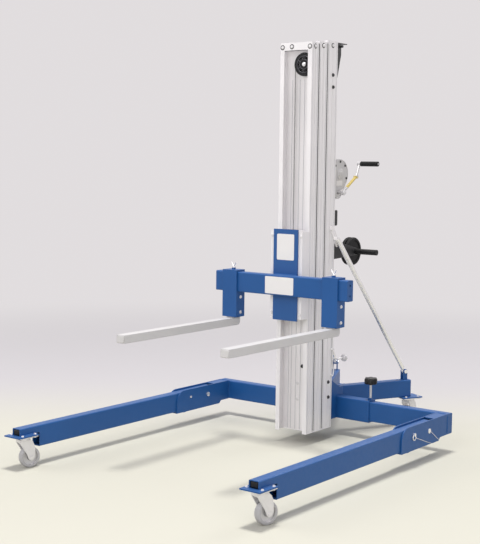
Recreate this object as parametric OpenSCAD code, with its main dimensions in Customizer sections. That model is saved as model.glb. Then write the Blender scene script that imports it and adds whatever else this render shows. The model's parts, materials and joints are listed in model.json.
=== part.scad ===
// Material hoist: a hand-cranked three-column mast on a straddle base with folding legs.
// Millimetres. +Z is up, the forks and legs point to -Y, and the floor is at zero.

/* [Mast] */
// Width of every mast column
mast_w = 190; // [180:1:205]
// Wall of the column extrusions
column_wall = 5; // [4:0.5:6]
// Width of a column's front lips
lip_w = 24; // [22:0.5:26]
// Depth of the front column
front_d = 62; // [58:1:70]
// Depth of the middle column
middle_d = 72; // [66:1:84]
// Depth of the rear column
rear_d = 90; // [80:1:105]
// Height of the mast's foot above the floor
mast_foot = 60; // [50:1:70]
// Height of the front column's top
mast_top = 2024; // [1900:2:2100]

/* [Base] */
// Centre line to the outer face of a leg
leg_out = 712; // [680:2:760]
// Mast centre to the front edge of the leg plates
front_reach = 1374; // [1250:2:1450]
// Width of the square-cornered tube of legs, cross tubes and load bar
tube_w = 51; // [48:1:54]
// Height of that tube
tube_h = 102; // [98:1:106]
// Wall of that tube
tube_wall = 4; // [3:0.5:6]
// Mast centre to the centre of the cross tubes
cross_v = 235; // [225:1:250]
// Height of the cross tubes' lower face
cross_foot = 97; // [94:1:104]
// Length of the sleeve that holds the two cross tubes
sleeve_len = 540; // [520:2:580]
// Length of a rear arm
arm_len = 450; // [420:2:500]
// Angle of a rear arm away from straight back
arm_splay = 26; // [22:0.5:28]

/* [Casters] */
// Diameter of the caster wheels
wheel_dia = 98; // [94:1:104]
// Width of the caster wheels' tread
wheel_w = 32; // [28:1:36]
// Height of a caster from the floor to its mounting plate
caster_h = 152; // [148:1:160]
// Trail of the caster wheel behind its swivel
trail = 30; // [26:1:34]
// Turn of the front casters away from straight back
caster_turn = 18; // [0:1:40]

/* [Load] */
// Length of the load bar
bar_len = 800; // [760:5:860]
// Height of the load bar's lower face
bar_foot = 771; // [760:1:800]
// Drop from the load bar's lower face to the fork tops
fork_drop = 137; // [134:1:160]
// Mast centre to the fork tips
fork_reach = 1052; // [900:2:1100]
// Centre line to a fork's centre
fork_x = 305; // [270:1:330]
// Width of a fork tine
fork_w = 50; // [44:1:56]
// Height of a fork tine
fork_h = 38; // [34:1:42]

/* [Winch] */
// Height of the winch drum's axis
drum_z = 1375; // [1300:5:1420]
// Diameter of the bare winch drum
drum_dia = 56; // [50:1:60]
// Teeth on the drum gear
gear_teeth = 46; // [44:1:48]
// Teeth on the crank pinion
pinion_teeth = 18; // [16:1:20]
// Tooth size: pitch diameter over the number of teeth
gear_module = 3; // [2.8:0.1:3.1]
// Length of the crank arm between its shaft and its grip
crank_len = 185; // [165:1:190]
// Diameter of the wire rope
rope_dia = 5; // [4:0.5:5.5]

/* [Hidden] */
$fn = 48;

// Clearances shared by all fits
cut = 1;             // overrun of every cut
run_gap = 0.05;      // radial gap of a pin in its bore
seat_gap = 0.3;      // gap between faces that slide past each other
slip = 0.5;          // gap round a tube that slides in another

// Mast columns: each hooks behind the lips of the one behind it
column_gap = 4;
slide_gap = 2;
neck_gap = 6;
groove_w = 4;
groove_d = 1.5;
middle_rise = 8;
rear_rise = 18;
mast_half = mast_w / 2;
mast_d = front_d + middle_d + rear_d + 2 * column_gap;
front_v = -mast_d / 2;
middle_v = front_v + front_d + column_gap;
rear_v = middle_v + middle_d + column_gap;
back_v = mast_d / 2;
middle_top = mast_top + middle_rise;
rear_top = mast_top + rear_rise;
lip_edge = mast_half - lip_w;
neck_x = lip_edge - neck_gap - column_wall;
hook_x = mast_half - column_wall - slide_gap;
pad_h = 110;
pad_step = 340;
pad_rise = 25;
pad_t = slide_gap - seat_gap;
anchor_w = 70;
anchor_t = 8;
bridge_h = 39;

// Sheaves
sheave_r = 58;
sheave_t = 14;
sheave_x = 28;
sheave_drop = 106;
sheave_hole_r = 6.5;
sheave_holes = 6;
sheave_hub_r = 14;
groove_r = sheave_r - rope_dia;
axle_r = 8;
sheave_in = 32;
rear_sheave_r = 46;
rear_sheave_drop = 52;
rear_groove_r = rear_sheave_r - rope_dia;
rear_sheave_v = back_v + 2 * slide_gap + column_wall;
rear_sheave_z = rear_top - rear_sheave_drop;
notch_half = sheave_t / 2 + slide_gap + column_gap + column_wall;
rope_r = rope_dia / 2;
wrap_r = rear_groove_r + rope_r + seat_gap;

// Sheave guard behind the rear column's top
guard_t = 4;
guard_x = 70;
guard_h = 205;
guard_reach = 65;
guard_toe = 26;
guard_lip = 60;
guard_flange = 40;
hood_reach = 120;
rod_r = 7;
rod_end = 16;
rod_half = guard_x + guard_t + rod_end;

// Legs and cross tubes
leg_drop = 7;
leg_foot = cross_foot - leg_drop;
leg_in = leg_out - tube_w;
leg_mid = leg_out - tube_w / 2;
leg_top = leg_foot + tube_h;
plate_lead = 28;
leg_end = front_reach - plate_lead;
plate_t = 6;
plate_len = 122;
plate_w = 102;
step_gap = 28;
leg_step = plate_len + step_gap;
tube_round = 6;
cheek_t = 6;
cheek_out = leg_out + slip + cheek_t;
cheek_in = leg_in - slip - cheek_t;
floor_gap = 2;
cheek_rise = 8;
bracket_foot = leg_foot - floor_gap - cheek_t;
bracket_top = leg_top + cheek_rise;
bracket_front = 240;
bracket_heel = 123;
bracket_round = 60;
cap_gap = 3;
fold_v = 20;
fold_rise = 60;
fold_z = leg_foot + fold_rise;
fold_r = 8;
fold_swing = fold_z - leg_foot;
lock_v = -130;
lock_rise = 8;
lock_z = fold_z + lock_rise;
lock_r = 6;
pin_head_r = 12;
pin_head_t = 5;
ring_r = 13;
ring_wire = 2;
slot_w = 26;
tube_in = 100;
sleeve_wall = 6;
sleeve_h = tube_h + 2 * (slip + sleeve_wall);
sleeve_d = tube_w + 2 * (slip + sleeve_wall);
cross_mid = cross_foot + tube_h / 2;
sleeve_top = cross_mid + sleeve_h / 2;
sleeve_front = cross_v - sleeve_d / 2;
sleeve_back = cross_v + sleeve_d / 2;

// Width clamps: a screw with a lobed knob at each end of the sleeve
knob_inset = 10;
knob_x = sleeve_len / 2 - knob_inset;
knob_r = 24;
lobe_r = 8;
lobes = 6;
knob_t = 24;
knob_hub_r = 12;
knob_hub_t = 12;
knob_rise = 105;
screw_r = 6;
boss_w = 20;
boss_t = 12;

// Mast mount and rear arms
mount_t = 8;
mount_half = 75;
cheek_x = 62;
mount_top = 300;
mount_slope = 34;
arm_w = 50;
arm_h = 94;
arm_foot = caster_h + plate_t;
arm_top = arm_foot + arm_h;
arm_plate_w = 98;
arm_root_x = 40;
arm_end_x = arm_root_x + arm_len * sin(arm_splay);
arm_end_v = sleeve_back + arm_len * cos(arm_splay);
ear_back = 30;
ear_t = 5;
ear_gap = 9;
ear_r = 13;
ear_rise = 46;
ear_z = arm_top + ear_rise;
ear_x = arm_root_x + (arm_len - ear_back) * sin(arm_splay);
ear_v = sleeve_back + (arm_len - ear_back) * cos(arm_splay);
brace_r = 12.5;
foot_rod_r = 6.5;
foot_rod_len = 24;
brace_bolt_r = 6;
bolt_head_r = 10;
bolt_head_t = 6;
tab_t = 8;
tab_r = 16;
tab_len = 105;
tab_lap = 62;
brace_top_v = 85;
brace_top_z = 1095;

// Casters
caster_t = 5;
caster_len = 108;
caster_w = 98;
race_r = 29;
race_t = 10;
king_r = 8;
king_head_r = 13;
king_head_t = 6;
crown_t = 14;
crown_half = 27;
caster_leg_t = 4;
caster_gap = 0.5;
hub_lead = 4;
hub_w = wheel_w + 2 * hub_lead;
caster_leg_x = hub_w / 2 + caster_gap;
caster_axle_r = 5;
caster_eye_r = 12;
caster_nut_t = 5;
wheel_r = wheel_dia / 2;
wheel_hub_r = 15;
wheel_web_r = 36;
wheel_web_t = 10;
tread_round = 6;
front_swivel_in = 70;
front_swivel_v = front_swivel_in - front_reach;
rear_swivel_past = 1;
rear_swivel_x = arm_end_x + rear_swivel_past * sin(arm_splay);
rear_swivel_v = arm_end_v + rear_swivel_past * cos(arm_splay);
race_foot = caster_h - caster_t - race_t;
crown_top = race_foot - seat_gap;

// The frame's origin lies below the middle of the whole hoist
rear_reach = rear_swivel_v + trail + wheel_r;
mast_y = (front_reach - rear_reach) / 2;

// Carriage, load bar and forks
carriage_half = 73;
carriage_t = 8;
carriage_depth = 67;
carriage_below = 129;
carriage_above = 329;
carriage_foot = bar_foot - carriage_below;
carriage_top = bar_foot + carriage_above;
carriage_v = front_v - carriage_depth;
rib_x = lip_edge - column_wall;
rib_trim = 10;
rib_in = 42;
carriage_pad_h = 95;
carriage_pad_d = 32;
runner_t = 5;
bar_back = carriage_v;
bar_front = bar_back - tube_w;
bar_top = bar_foot + tube_h;
fork_top = bar_foot - fork_drop;
bracket_w = 90;
bracket_wall = 9;
socket_top = bar_foot - bracket_wall;
socket_rise = 6;
shank_inset = 3;
socket_foot = fork_top + socket_rise;
shank_w = fork_w - 2 * shank_inset;
tine_wall = 4;
heel_r = fork_h / 2 - 1;
clamp_r = 5;
clamp_boss_r = 10;
clamp_boss_h = 9;
clamp_collar_r = 8;
clamp_collar_h = 7;
wing_r = 3.5;
wing_x = 13;
wing_rise = 20;
bar_hole_r = 5;

// Winch
winch_reach = 97;
winch_v = back_v + winch_reach;
pinion_lean = 10;
gear_r = gear_module * gear_teeth / 2;
pinion_r = gear_module * pinion_teeth / 2;
shaft_span = gear_r + pinion_r;
crank_v = winch_v - shaft_span * sin(pinion_lean);
crank_z = drum_z - shaft_span * cos(pinion_lean);
backlash = 0.3;
press_angle = 20;
flank_steps = 4;
tooth_foot_share = 1.25;
gear_t = 12;
gear_in = 45;
winch_t = 4;
winch_x = 37;
drum_half = 33;
flange_r = 48;
flange_t = 3;
drum_shaft_r = 10;
winch_base_t = 6;
winch_below = 48;
winch_above = 82;
winch_round = 30;
cover_t = 2;
cover_gap = 4;
cover_in = winch_x + winch_t;
cover_out = gear_in + gear_t + cover_gap;
drum_r = drum_dia / 2;
layer_r = drum_r + rope_r + seat_gap;
turn_gap = 1.2;
layer_step = rope_dia + turn_gap;
turns = 9;
turn_rings = 24;
rope_sides = 6;
run_r = layer_r + rope_dia + 2 * seat_gap;
crank_hub_r = 15;
crank_hub_in = 78;
crank_hub_out = 98;
crank_r = 6.5;
crank_low_r = 7.5;
crank_knuckle_r = 9.5;
crank_bend_x = 130;
crank_bend_share = 0.55;
crank_eye_r = 12;
crank_eye_in = 110;
crank_tilt = 37;
grip_x = 128;
grip_r = 13;
grip_len = 104;
grip_pin_r = 5;
grip_v = crank_v + crank_len * sin(crank_tilt);
grip_z = crank_z + crank_len * cos(crank_tilt);

// Transport wheel behind the mast
wheel_z = 958;
wheel_reach = 314;
wheel_v = back_v + wheel_reach;
big_wheel_r = 75;
big_wheel_w = 44;
big_round = 8;
rim_gap = 4;
big_hub_r = 24;
big_axle_r = 10;
stay_t = 5;
stay_x = big_wheel_w / 2 + 4;
stay_foot = 34;
stay_head = 82;
stay_toe = 20;
stay_half = 52;
handle_r = 15;
handle_len = 132;

blue = "royalblue";
alloy = "gainsboro";
steel = "silver";
dark = "dimgray";
black = "black";

function swing(a, r) = [r * cos(a), r * sin(a)];

// A box from its low corner to its high corner
module block(low, high) translate(low) cube(high - low);

// A round bar along one axis
module bar_x(r, x0, x1, v, z) translate([x0, v, z]) rotate([0, 90, 0]) cylinder(r = r, h = x1 - x0);
module bar_y(r, v0, v1, x, z) translate([x, v1, z]) rotate([90, 0, 0]) cylinder(r = r, h = v1 - v0);
module bar_z(r, z0, z1, x, v) translate([x, v, z0]) cylinder(r = r, h = z1 - z0);

// A round bar between two points
module strut(r, a, b) {
    d = b - a;
    translate(a) rotate([0, acos(d.z / norm(d)), atan2(d.y, d.x)]) cylinder(r = r, h = norm(d));
}

// An outline drawn in depth and height, drawn out along X
module slab_x(x0, x1) translate([x0, 0, 0]) rotate([90, 0, 90]) linear_extrude(x1 - x0) children();

// A box tube's outline with rounded corners, round its own middle
module tube_outline(w, h) {
    square([w - 2 * tube_round, h], center = true);
    square([w, h - 2 * tube_round], center = true);
    for (x = [-1, 1], y = [-1, 1])
        translate([x * (w / 2 - tube_round), y * (h / 2 - tube_round)]) circle(r = tube_round, $fn = 24);
}

// A box bar with rounded corners along one axis
module tube_x(x0, x1, v, z, w, h)
    translate([x0, v, z]) rotate([90, 0, 90]) linear_extrude(x1 - x0) tube_outline(w, h);
module tube_y(v0, v1, x, z, w, h)
    translate([x, v1, z]) rotate([90, 0, 0]) linear_extrude(v1 - v0) tube_outline(w, h);

// The right-hand piece, or its mirror image on the left
module hand(side) {
    if (side > 0) children();
    else mirror([1, 0, 0]) children();
}

module column_outline(front, depth, railed) {
    back = front + depth;
    hook_v = back + column_gap + column_wall + slide_gap;
    difference() {
        translate([-mast_half, front]) square([mast_w, depth]);
        translate([column_wall - mast_half, front + column_wall])
            square([mast_w - 2 * column_wall, depth - 2 * column_wall]);
        translate([-lip_edge, front - cut]) square([2 * lip_edge, column_wall + 2 * cut]);
        for (s = [-1, 1]) translate([s * mast_half - groove_d, front + (depth - groove_w) / 2])
            square([2 * groove_d, groove_w]);
    }
    if (railed) for (s = [0, 1]) mirror([s, 0]) {
        translate([neck_x, back - cut]) square([column_wall, hook_v + column_wall + cut - back]);
        translate([neck_x, hook_v]) square([hook_x - neck_x, column_wall]);
    }
}

module column(front, depth, top, railed) {
    translate([0, 0, mast_foot]) linear_extrude(top - mast_foot) column_outline(front, depth, railed);
}

module rear_column() color(alloy) difference() {
    column(rear_v, rear_d, rear_top, false);
    block([-notch_half, back_v - column_wall - cut, rear_sheave_z - rear_sheave_r - slide_gap],
        [notch_half, back_v + cut, rear_top + cut]);
}

// The hook on a column's foot that the rope behind it lifts by
module foot_anchor(back, reach) {
    block([-anchor_w / 2, back, mast_foot], [anchor_w / 2, back + reach, mast_foot + anchor_t]);
}

module middle_column() color(alloy) difference() {
    union() {
        column(middle_v, middle_d, middle_top, true);
        foot_anchor(middle_v + middle_d, rear_sheave_v - wrap_r + rope_dia - rear_v + column_gap);
    }
    bar_y(axle_r + run_gap, middle_v, rear_v, -sheave_x, middle_top - sheave_drop);
}

module front_column() color(alloy) difference() {
    union() {
        column(front_v, front_d, mast_top, true);
        block([-lip_edge - cut, front_v, mast_top - bridge_h],
            [lip_edge + cut, front_v + column_wall, mast_top]);
        foot_anchor(front_v + front_d, column_gap + column_wall + sheave_in + sheave_t);
    }
    bar_y(axle_r + run_gap, front_v + front_d - column_wall - cut, middle_v,
        sheave_x, mast_top - sheave_drop);
}

// Plastic shoes round the hooks of a column, low down in the column behind
module slide_pads(back) color("white") {
    hook_v = back + column_gap + column_wall + slide_gap;
    for (s = [0, 1], level = [0, 1]) mirror([s, 0, 0])
        translate([0, 0, mast_foot + pad_rise + level * pad_step]) linear_extrude(pad_h) difference() {
            translate([lip_edge + cut, hook_v - pad_t])
                square([hook_x + pad_t - lip_edge - cut, column_wall + 2 * pad_t]);
            translate([lip_edge, hook_v]) square([hook_x - lip_edge, column_wall]);
        }
}

module sheave_outline(outer, root, bore) {
    half = sheave_t / 2;
    polygon([[bore, -half], [outer, -half], [outer, -half + groove_d], [root, -rope_r / 2],
        [root, rope_r / 2], [outer, half - groove_d], [outer, half], [bore, half]]);
}

// A flat sheave in a column's channel, on a short shaft through the column's web
module column_sheave(front, depth, top, x) color(black) {
    z = top - sheave_drop;
    mid = front + column_wall + sheave_in;
    web = front + depth - column_wall;
    difference() {
        union() {
            translate([x, mid, z]) rotate([90, 0, 0]) rotate_extrude() sheave_outline(sheave_r, groove_r, 0);
            bar_y(sheave_hub_r, mid - sheave_t / 2 - groove_d, web - seat_gap, x, z);
            bar_y(axle_r, web - cut, web + column_wall, x, z);
        }
        for (k = [0 : sheave_holes - 1]) {
            p = swing(k * 360 / sheave_holes, (groove_r + sheave_hub_r) / 2);
            bar_y(sheave_hole_r, mid - sheave_t, mid + sheave_t, x + p.x, z + p.y);
        }
    }
}

module front_sheave() column_sheave(front_v, front_d, mast_top, sheave_x);
module middle_sheave() column_sheave(middle_v, middle_d, middle_top, -sheave_x);

module rear_sheave() color(black) difference() {
    union() {
        translate([0, rear_sheave_v, rear_sheave_z]) rotate([0, 90, 0]) rotate_extrude()
            sheave_outline(rear_sheave_r, rear_groove_r, 0);
        bar_x(sheave_hub_r, slide_gap - notch_half, notch_half - slide_gap, rear_sheave_v, rear_sheave_z);
        bar_x(axle_r, -guard_x - guard_t, guard_x + guard_t, rear_sheave_v, rear_sheave_z);
    }
    for (k = [0 : sheave_holes - 1]) {
        p = swing(k * 360 / sheave_holes, (rear_groove_r + sheave_hub_r) / 2);
        bar_x(sheave_hole_r - groove_d, -sheave_t, sheave_t, rear_sheave_v + p.x, rear_sheave_z + p.y);
    }
}

module sheave_guard() color(dark) {
    low = rear_top - guard_h;
    edge = back_v + guard_reach;
    outer = guard_x + guard_t;
    difference() {
        for (s = [0, 1]) mirror([s, 0, 0]) {
            slab_x(guard_x, outer) polygon([[back_v, low], [back_v + guard_toe, low],
                [edge, rear_top - guard_lip], [edge, rear_top], [back_v, rear_top]]);
            block([guard_x - guard_flange, back_v, low], [outer, back_v + guard_t, rear_top]);
        }
        bar_x(axle_r + run_gap, -mast_half, mast_half, rear_sheave_v, rear_sheave_z);
    }
    block([-outer, back_v, rear_top - guard_t], [outer, back_v + hood_reach, rear_top]);
    bar_x(rod_r, -rod_half, rod_half, edge - 1.5 * rod_r, rear_top - guard_t - 2 * rod_r);
}

// Rope from the drum up and over the rear sheave
module lift_rope() color(steel) {
    strut(rope_r, [0, winch_v - run_r, drum_z], [0, rear_sheave_v + wrap_r, rear_sheave_z]);
    translate([0, rear_sheave_v, rear_sheave_z]) rotate([90, 0, 90])
        rotate_extrude(angle = 180) translate([wrap_r, 0]) circle(r = rope_r);
}

module mast_rope() color(steel)
    bar_z(rope_r, mast_foot + anchor_t, rear_sheave_z, 0, rear_sheave_v - wrap_r);

module column_rope() color(steel) {
    bar_z(rope_r, mast_foot + anchor_t, middle_top - sheave_drop,
        -sheave_x + groove_r + rope_r + seat_gap, middle_v + column_wall + sheave_in);
}

module carriage_rope() color(steel) {
    bar_z(rope_r, carriage_top - rib_trim, mast_top - sheave_drop,
        sheave_x - groove_r - rope_r - seat_gap, front_v + column_wall + sheave_in);
}

module cross_sleeve() color(blue) {
    half = sleeve_len / 2;
    difference() {
        union() {
            tube_x(-half, half, cross_v, cross_mid, sleeve_d, sleeve_h);
            for (s = [-1, 1]) translate([s * knob_x, cross_v, sleeve_top - cut])
                linear_extrude(boss_t + cut) square(boss_w, center = true);
        }
        block([-half - cut, sleeve_front + sleeve_wall, cross_foot - slip],
            [half + cut, sleeve_back - sleeve_wall, cross_foot + tube_h + slip]);
        for (s = [-1, 1])
            bar_z(screw_r + run_gap, cross_mid, sleeve_top + boss_t + cut, s * knob_x, cross_v);
    }
}

module width_knob(side) hand(side) {
    top = sleeve_top + boss_t + knob_rise;
    color(steel) bar_z(screw_r, cross_foot + tube_h + seat_gap, top, knob_x, cross_v);
    color(black) translate([knob_x, cross_v, top - knob_t]) linear_extrude(knob_t) {
        circle(r = knob_r);
        for (k = [0 : lobes - 1]) translate(swing(k * 360 / lobes, knob_r)) circle(r = lobe_r);
    }
    color(black) bar_z(knob_hub_r, top - knob_t - knob_hub_t, top - knob_t + cut, knob_x, cross_v);
}

module mast_mount() color(blue) {
    base = cross_mid - sleeve_h / 2;
    block([-mount_half, back_v, base], [mount_half, back_v + mount_t, mount_top]);
    for (s = [0, 1]) mirror([s, 0, 0]) slab_x(cheek_x, cheek_x + mount_t)
        polygon([[back_v, base], [sleeve_front, base], [sleeve_front, sleeve_top], [sleeve_back, sleeve_top],
            [sleeve_back, arm_top], [sleeve_back - mount_slope, arm_top], [back_v + mount_slope, mount_top],
            [back_v, mount_top]]);
    block([-cheek_x - mount_t, sleeve_back - mount_t, sleeve_top], [cheek_x + mount_t, sleeve_back, arm_top]);
}

// Places what is drawn along +Y on the line of the right rear arm
module along_arm() translate([arm_root_x, sleeve_back, 0]) rotate([0, 0, -arm_splay]) children();

module rear_arm(side) color(blue) hand(side) difference() {
    along_arm() {
        difference() {
            tube_y(-arm_w, arm_len, 0, arm_foot + arm_h / 2, arm_w, arm_h);
            block([tube_wall - arm_w / 2, -arm_w - cut, arm_foot + tube_wall],
                [arm_w / 2 - tube_wall, arm_len - tube_wall, arm_top - tube_wall]);
        }
        block([-arm_plate_w / 2, arm_len + rear_swivel_past - plate_len / 2, caster_h],
            [arm_plate_w / 2, arm_len + rear_swivel_past + plate_len / 2, arm_foot]);
        for (s = [-1, 1]) difference() {
            slab_x(s * (ear_gap + ear_t / 2) - ear_t / 2, s * (ear_gap + ear_t / 2) + ear_t / 2) {
                translate([arm_len - ear_back, ear_z]) circle(r = ear_r);
                translate([arm_len - ear_back - ear_r, arm_top]) square([2 * ear_r, ear_rise]);
            }
            bar_x(brace_bolt_r + run_gap, -arm_w, arm_w, arm_len - ear_back, ear_z);
        }
    }
    block([-arm_len, sleeve_back - 2 * arm_w, 0], [arm_len, sleeve_back, 2 * arm_top]);
}

module brace(side) color(steel) hand(side) {
    a = [mast_half + tab_t, brace_top_v, brace_top_z];
    b = [ear_x, ear_v, ear_z];
    d = (b - a) / norm(b - a);
    lean = atan2(d.z, d.y);
    strut(brace_r, a + d * tab_lap, b - d * foot_rod_len);
    strut(foot_rod_r, b - d * (foot_rod_len + cut), b);
    slab_x(mast_half, mast_half + tab_t) translate([brace_top_v, brace_top_z]) rotate(lean) {
        circle(r = tab_r);
        translate([0, -tab_r]) square([tab_len, 2 * tab_r]);
    }
    bar_x(bolt_head_r, mast_half + tab_t - cut, mast_half + tab_t + bolt_head_t, brace_top_v, brace_top_z);
    translate([ear_x, ear_v, ear_z]) rotate([0, 0, -arm_splay]) {
        bar_x(ear_r - 2 * seat_gap, seat_gap - ear_gap, ear_gap - seat_gap, 0, 0);
        bar_x(brace_bolt_r, -ear_gap - ear_t - bolt_head_t, ear_gap + ear_t + bolt_head_t, 0, 0);
        for (s = [-1, 1]) bar_x(bolt_head_r, s * (ear_gap + ear_t + bolt_head_t / 2) - bolt_head_t / 2,
            s * (ear_gap + ear_t + bolt_head_t / 2) + bolt_head_t / 2, 0, 0);
    }
}

// Top plate, ball race and king pin of a caster at the origin
module caster_plate(len, w) color(steel) {
    block([-w / 2, -len / 2, caster_h - caster_t], [w / 2, len / 2, caster_h]);
    bar_z(race_r, race_foot, caster_h - caster_t + cut, 0, 0);
    bar_z(king_r, crown_top - crown_t - king_head_t, race_foot + cut, 0, 0);
    bar_z(king_head_r, crown_top - crown_t - king_head_t, crown_top - crown_t - seat_gap, 0, 0);
}

module caster_fork() color(steel) difference() {
    union() {
        bar_z(crown_half, crown_top - crown_t, crown_top, 0, 0);
        block([-caster_leg_x - caster_leg_t, -crown_half, crown_top - crown_t],
            [caster_leg_x + caster_leg_t, crown_half, crown_top]);
        for (s = [-1, 1]) slab_x(s * (caster_leg_x + caster_leg_t / 2) - caster_leg_t / 2,
            s * (caster_leg_x + caster_leg_t / 2) + caster_leg_t / 2) {
            translate([trail, wheel_r]) circle(r = caster_eye_r);
            polygon([[-crown_half, crown_top - crown_t], [-crown_half, crown_top], [crown_half, crown_top],
                [crown_half + caster_eye_r, crown_top - 2 * crown_t], [trail + caster_eye_r, wheel_r],
                [trail - caster_eye_r, wheel_r]]);
        }
        bar_x(caster_axle_r, -caster_leg_x - caster_leg_t - caster_nut_t,
            caster_leg_x + caster_leg_t + caster_nut_t, trail, wheel_r);
        for (s = [-1, 1]) bar_x(wheel_hub_r / 2 + cut, s * (caster_leg_x + caster_leg_t + caster_nut_t / 2)
            - caster_nut_t / 2, s * (caster_leg_x + caster_leg_t + caster_nut_t / 2) + caster_nut_t / 2,
            trail, wheel_r);
    }
    bar_z(king_r + run_gap, crown_top - crown_t - cut, crown_top + cut, 0, 0);
}

// Rounded wheel outline: a tread, a thin web and a hub, from the bore outwards
module wheel_outline(outer, w, edge, web_r, web_t, hub_r, hub, bore) {
    translate([bore, -hub / 2]) square([hub_r - bore, hub]);
    translate([hub_r - cut, -web_t / 2]) square([web_r - hub_r + 2 * cut, web_t]);
    translate([web_r, -w / 2]) square([outer - edge - web_r, w]);
    translate([outer - edge - cut, edge - w / 2]) square([edge + cut, w - 2 * edge]);
    for (s = [-1, 1]) translate([outer - edge, s * (w / 2 - edge)]) circle(r = edge);
}

module caster_wheel() color("lightgray") translate([0, trail, wheel_r]) rotate([0, 90, 0]) rotate_extrude()
    wheel_outline(wheel_r, wheel_w, tread_round, wheel_web_r, wheel_web_t, wheel_hub_r, hub_w,
        caster_axle_r + run_gap);

module at_front_caster(side, turn) translate([side * leg_mid, front_swivel_v, 0]) rotate([0, 0, -turn])
    children();
module at_rear_caster(side) translate([side * rear_swivel_x, rear_swivel_v, 0]) children();

module front_caster_plate(side) at_front_caster(side, 0) caster_plate(caster_w, caster_w);

module rear_caster_plates() for (s = [-1, 1]) at_rear_caster(s) rotate([0, 0, -s * arm_splay])
    caster_plate(caster_len, caster_w);

module cross_tube(side) color(blue) hand(side) difference() {
    tube_x(tube_in, cheek_out, cross_v, cross_mid, tube_w, tube_h);
    block([tube_in - cut, cross_v - tube_w / 2 + tube_wall, cross_foot + tube_wall],
        [cheek_out - tube_wall, cross_v + tube_w / 2 - tube_wall, cross_foot + tube_h - tube_wall]);
}

module cheek_outline() {
    weld = cross_v - tube_w / 2;
    translate([bracket_round - bracket_front, bracket_top - bracket_round]) circle(r = bracket_round);
    polygon([[-bracket_front, bracket_foot], [-bracket_front, bracket_top - bracket_round],
        [bracket_round - bracket_front, bracket_top - bracket_round],
        [bracket_round - bracket_front, bracket_top], [weld, bracket_top], [weld, cross_foot],
        [bracket_heel + cross_foot - bracket_foot, cross_foot], [bracket_heel, bracket_foot]]);
}

module leg_bracket(side) color(blue) hand(side) difference() {
    union() {
        slab_x(cheek_out - cheek_t, cheek_out) cheek_outline();
        slab_x(cheek_in, cheek_in + cheek_t) cheek_outline();
        block([cheek_in, -bracket_front, bracket_foot], [cheek_out, bracket_heel, bracket_foot + cheek_t]);
        block([cheek_in, fold_v + fold_swing + cap_gap, cross_foot + tube_h - cheek_t],
            [cheek_out, cross_v - tube_w / 2, cross_foot + tube_h]);
    }
    bar_x(fold_r + run_gap, cheek_in - cut, cheek_out + cut, fold_v, fold_z);
    bar_x(lock_r + run_gap, cheek_in - cut, cheek_out + cut, lock_v, lock_z);
}

// The leg's side view: straight, and round about the fold pin at its rear end
module leg_outline() {
    translate([-leg_end - cut, leg_foot - cut]) square([leg_end + fold_v + cut, tube_h + 2 * cut]);
    translate([fold_v, fold_z]) circle(r = fold_swing);
}

module leg(side) color(blue) hand(side) {
    deck = caster_h + plate_t;
    difference() {
        intersection() {
            tube_y(-leg_end, fold_v + fold_swing, leg_mid, leg_foot + tube_h / 2, tube_w, tube_h);
            slab_x(leg_in - cut, leg_out + cut) leg_outline();
        }
        block([leg_in + tube_wall, -leg_end - cut, leg_foot + tube_wall],
            [leg_out - tube_wall, fold_v + fold_swing + cut, leg_top - tube_wall]);
        block([leg_in - cut, -leg_end - cut, leg_foot - cut], [leg_out + cut, leg_step - front_reach, deck]);
        bar_x(fold_r + run_gap, leg_in - cut, leg_out + cut, fold_v, fold_z);
        bar_x(lock_r + slip, leg_in - cut, leg_out + cut, lock_v, lock_z);
        block([leg_in - cut, lock_v - lock_r - slip, leg_foot - cut],
            [leg_out + cut, lock_v - lock_r - slip + slot_w, lock_z]);
    }
    block([leg_mid - plate_w / 2, -front_reach, caster_h],
        [leg_mid + plate_w / 2, plate_len - front_reach, deck]);
}

module fold_pin(side) color(steel) hand(side) {
    bar_x(fold_r, cheek_in - pin_head_t, cheek_out + cut, fold_v, fold_z);
    bar_x(pin_head_r, cheek_out, cheek_out + pin_head_t, fold_v, fold_z);
    bar_x(pin_head_r, cheek_in - pin_head_t, cheek_in, fold_v, fold_z);
}

module lock_pin(side) color(steel) hand(side) {
    bar_x(lock_r, cheek_in - pin_head_t, cheek_out + cut, lock_v, lock_z);
    bar_x(pin_head_r - 2 * ring_wire, cheek_out, cheek_out + 2 * pin_head_t, lock_v, lock_z);
    translate([cheek_out + pin_head_t, lock_v, lock_z - ring_r]) rotate([90, 0, 90])
        rotate_extrude() translate([ring_r, 0]) circle(r = ring_wire);
}

module carriage() color(blue) {
    block([-carriage_half, carriage_v, carriage_foot],
        [carriage_half, carriage_v + carriage_t, carriage_top]);
    for (s = [0, 1]) mirror([s, 0, 0]) block([rib_x - carriage_t, carriage_v + carriage_t - cut,
        carriage_foot + rib_trim], [rib_x, front_v + rib_in, carriage_top - rib_trim]);
    block([-rib_x, front_v, carriage_top - rib_trim - carriage_t],
        [rib_x, front_v + rib_in, carriage_top - rib_trim]);
    block([-rib_x, front_v - carriage_t, carriage_foot + rib_trim],
        [rib_x, front_v + rib_in, carriage_foot + rib_trim + carriage_t]);
}

// Pads behind the front lips, and a runner beside the carriage's plate in front of each lip
module carriage_pads() color("white") for (s = [0, 1]) mirror([s, 0, 0]) {
    low = carriage_foot + rib_trim;
    high = carriage_top - rib_trim;
    pad_v = front_v + column_wall + seat_gap;
    pad_x = mast_half - column_wall - seat_gap;
    for (z = [low + rib_trim, high - rib_trim - carriage_pad_h])
        block([rib_x, pad_v, z], [pad_x, pad_v + carriage_pad_d, z + carriage_pad_h]);
    difference() {
        block([rib_x, carriage_v + carriage_t, low], [mast_half, front_v - seat_gap, high]);
        block([rib_x - cut, carriage_v + carriage_t + runner_t, low - cut],
            [mast_half - runner_t, front_v, high + cut]);
    }
}

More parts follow.
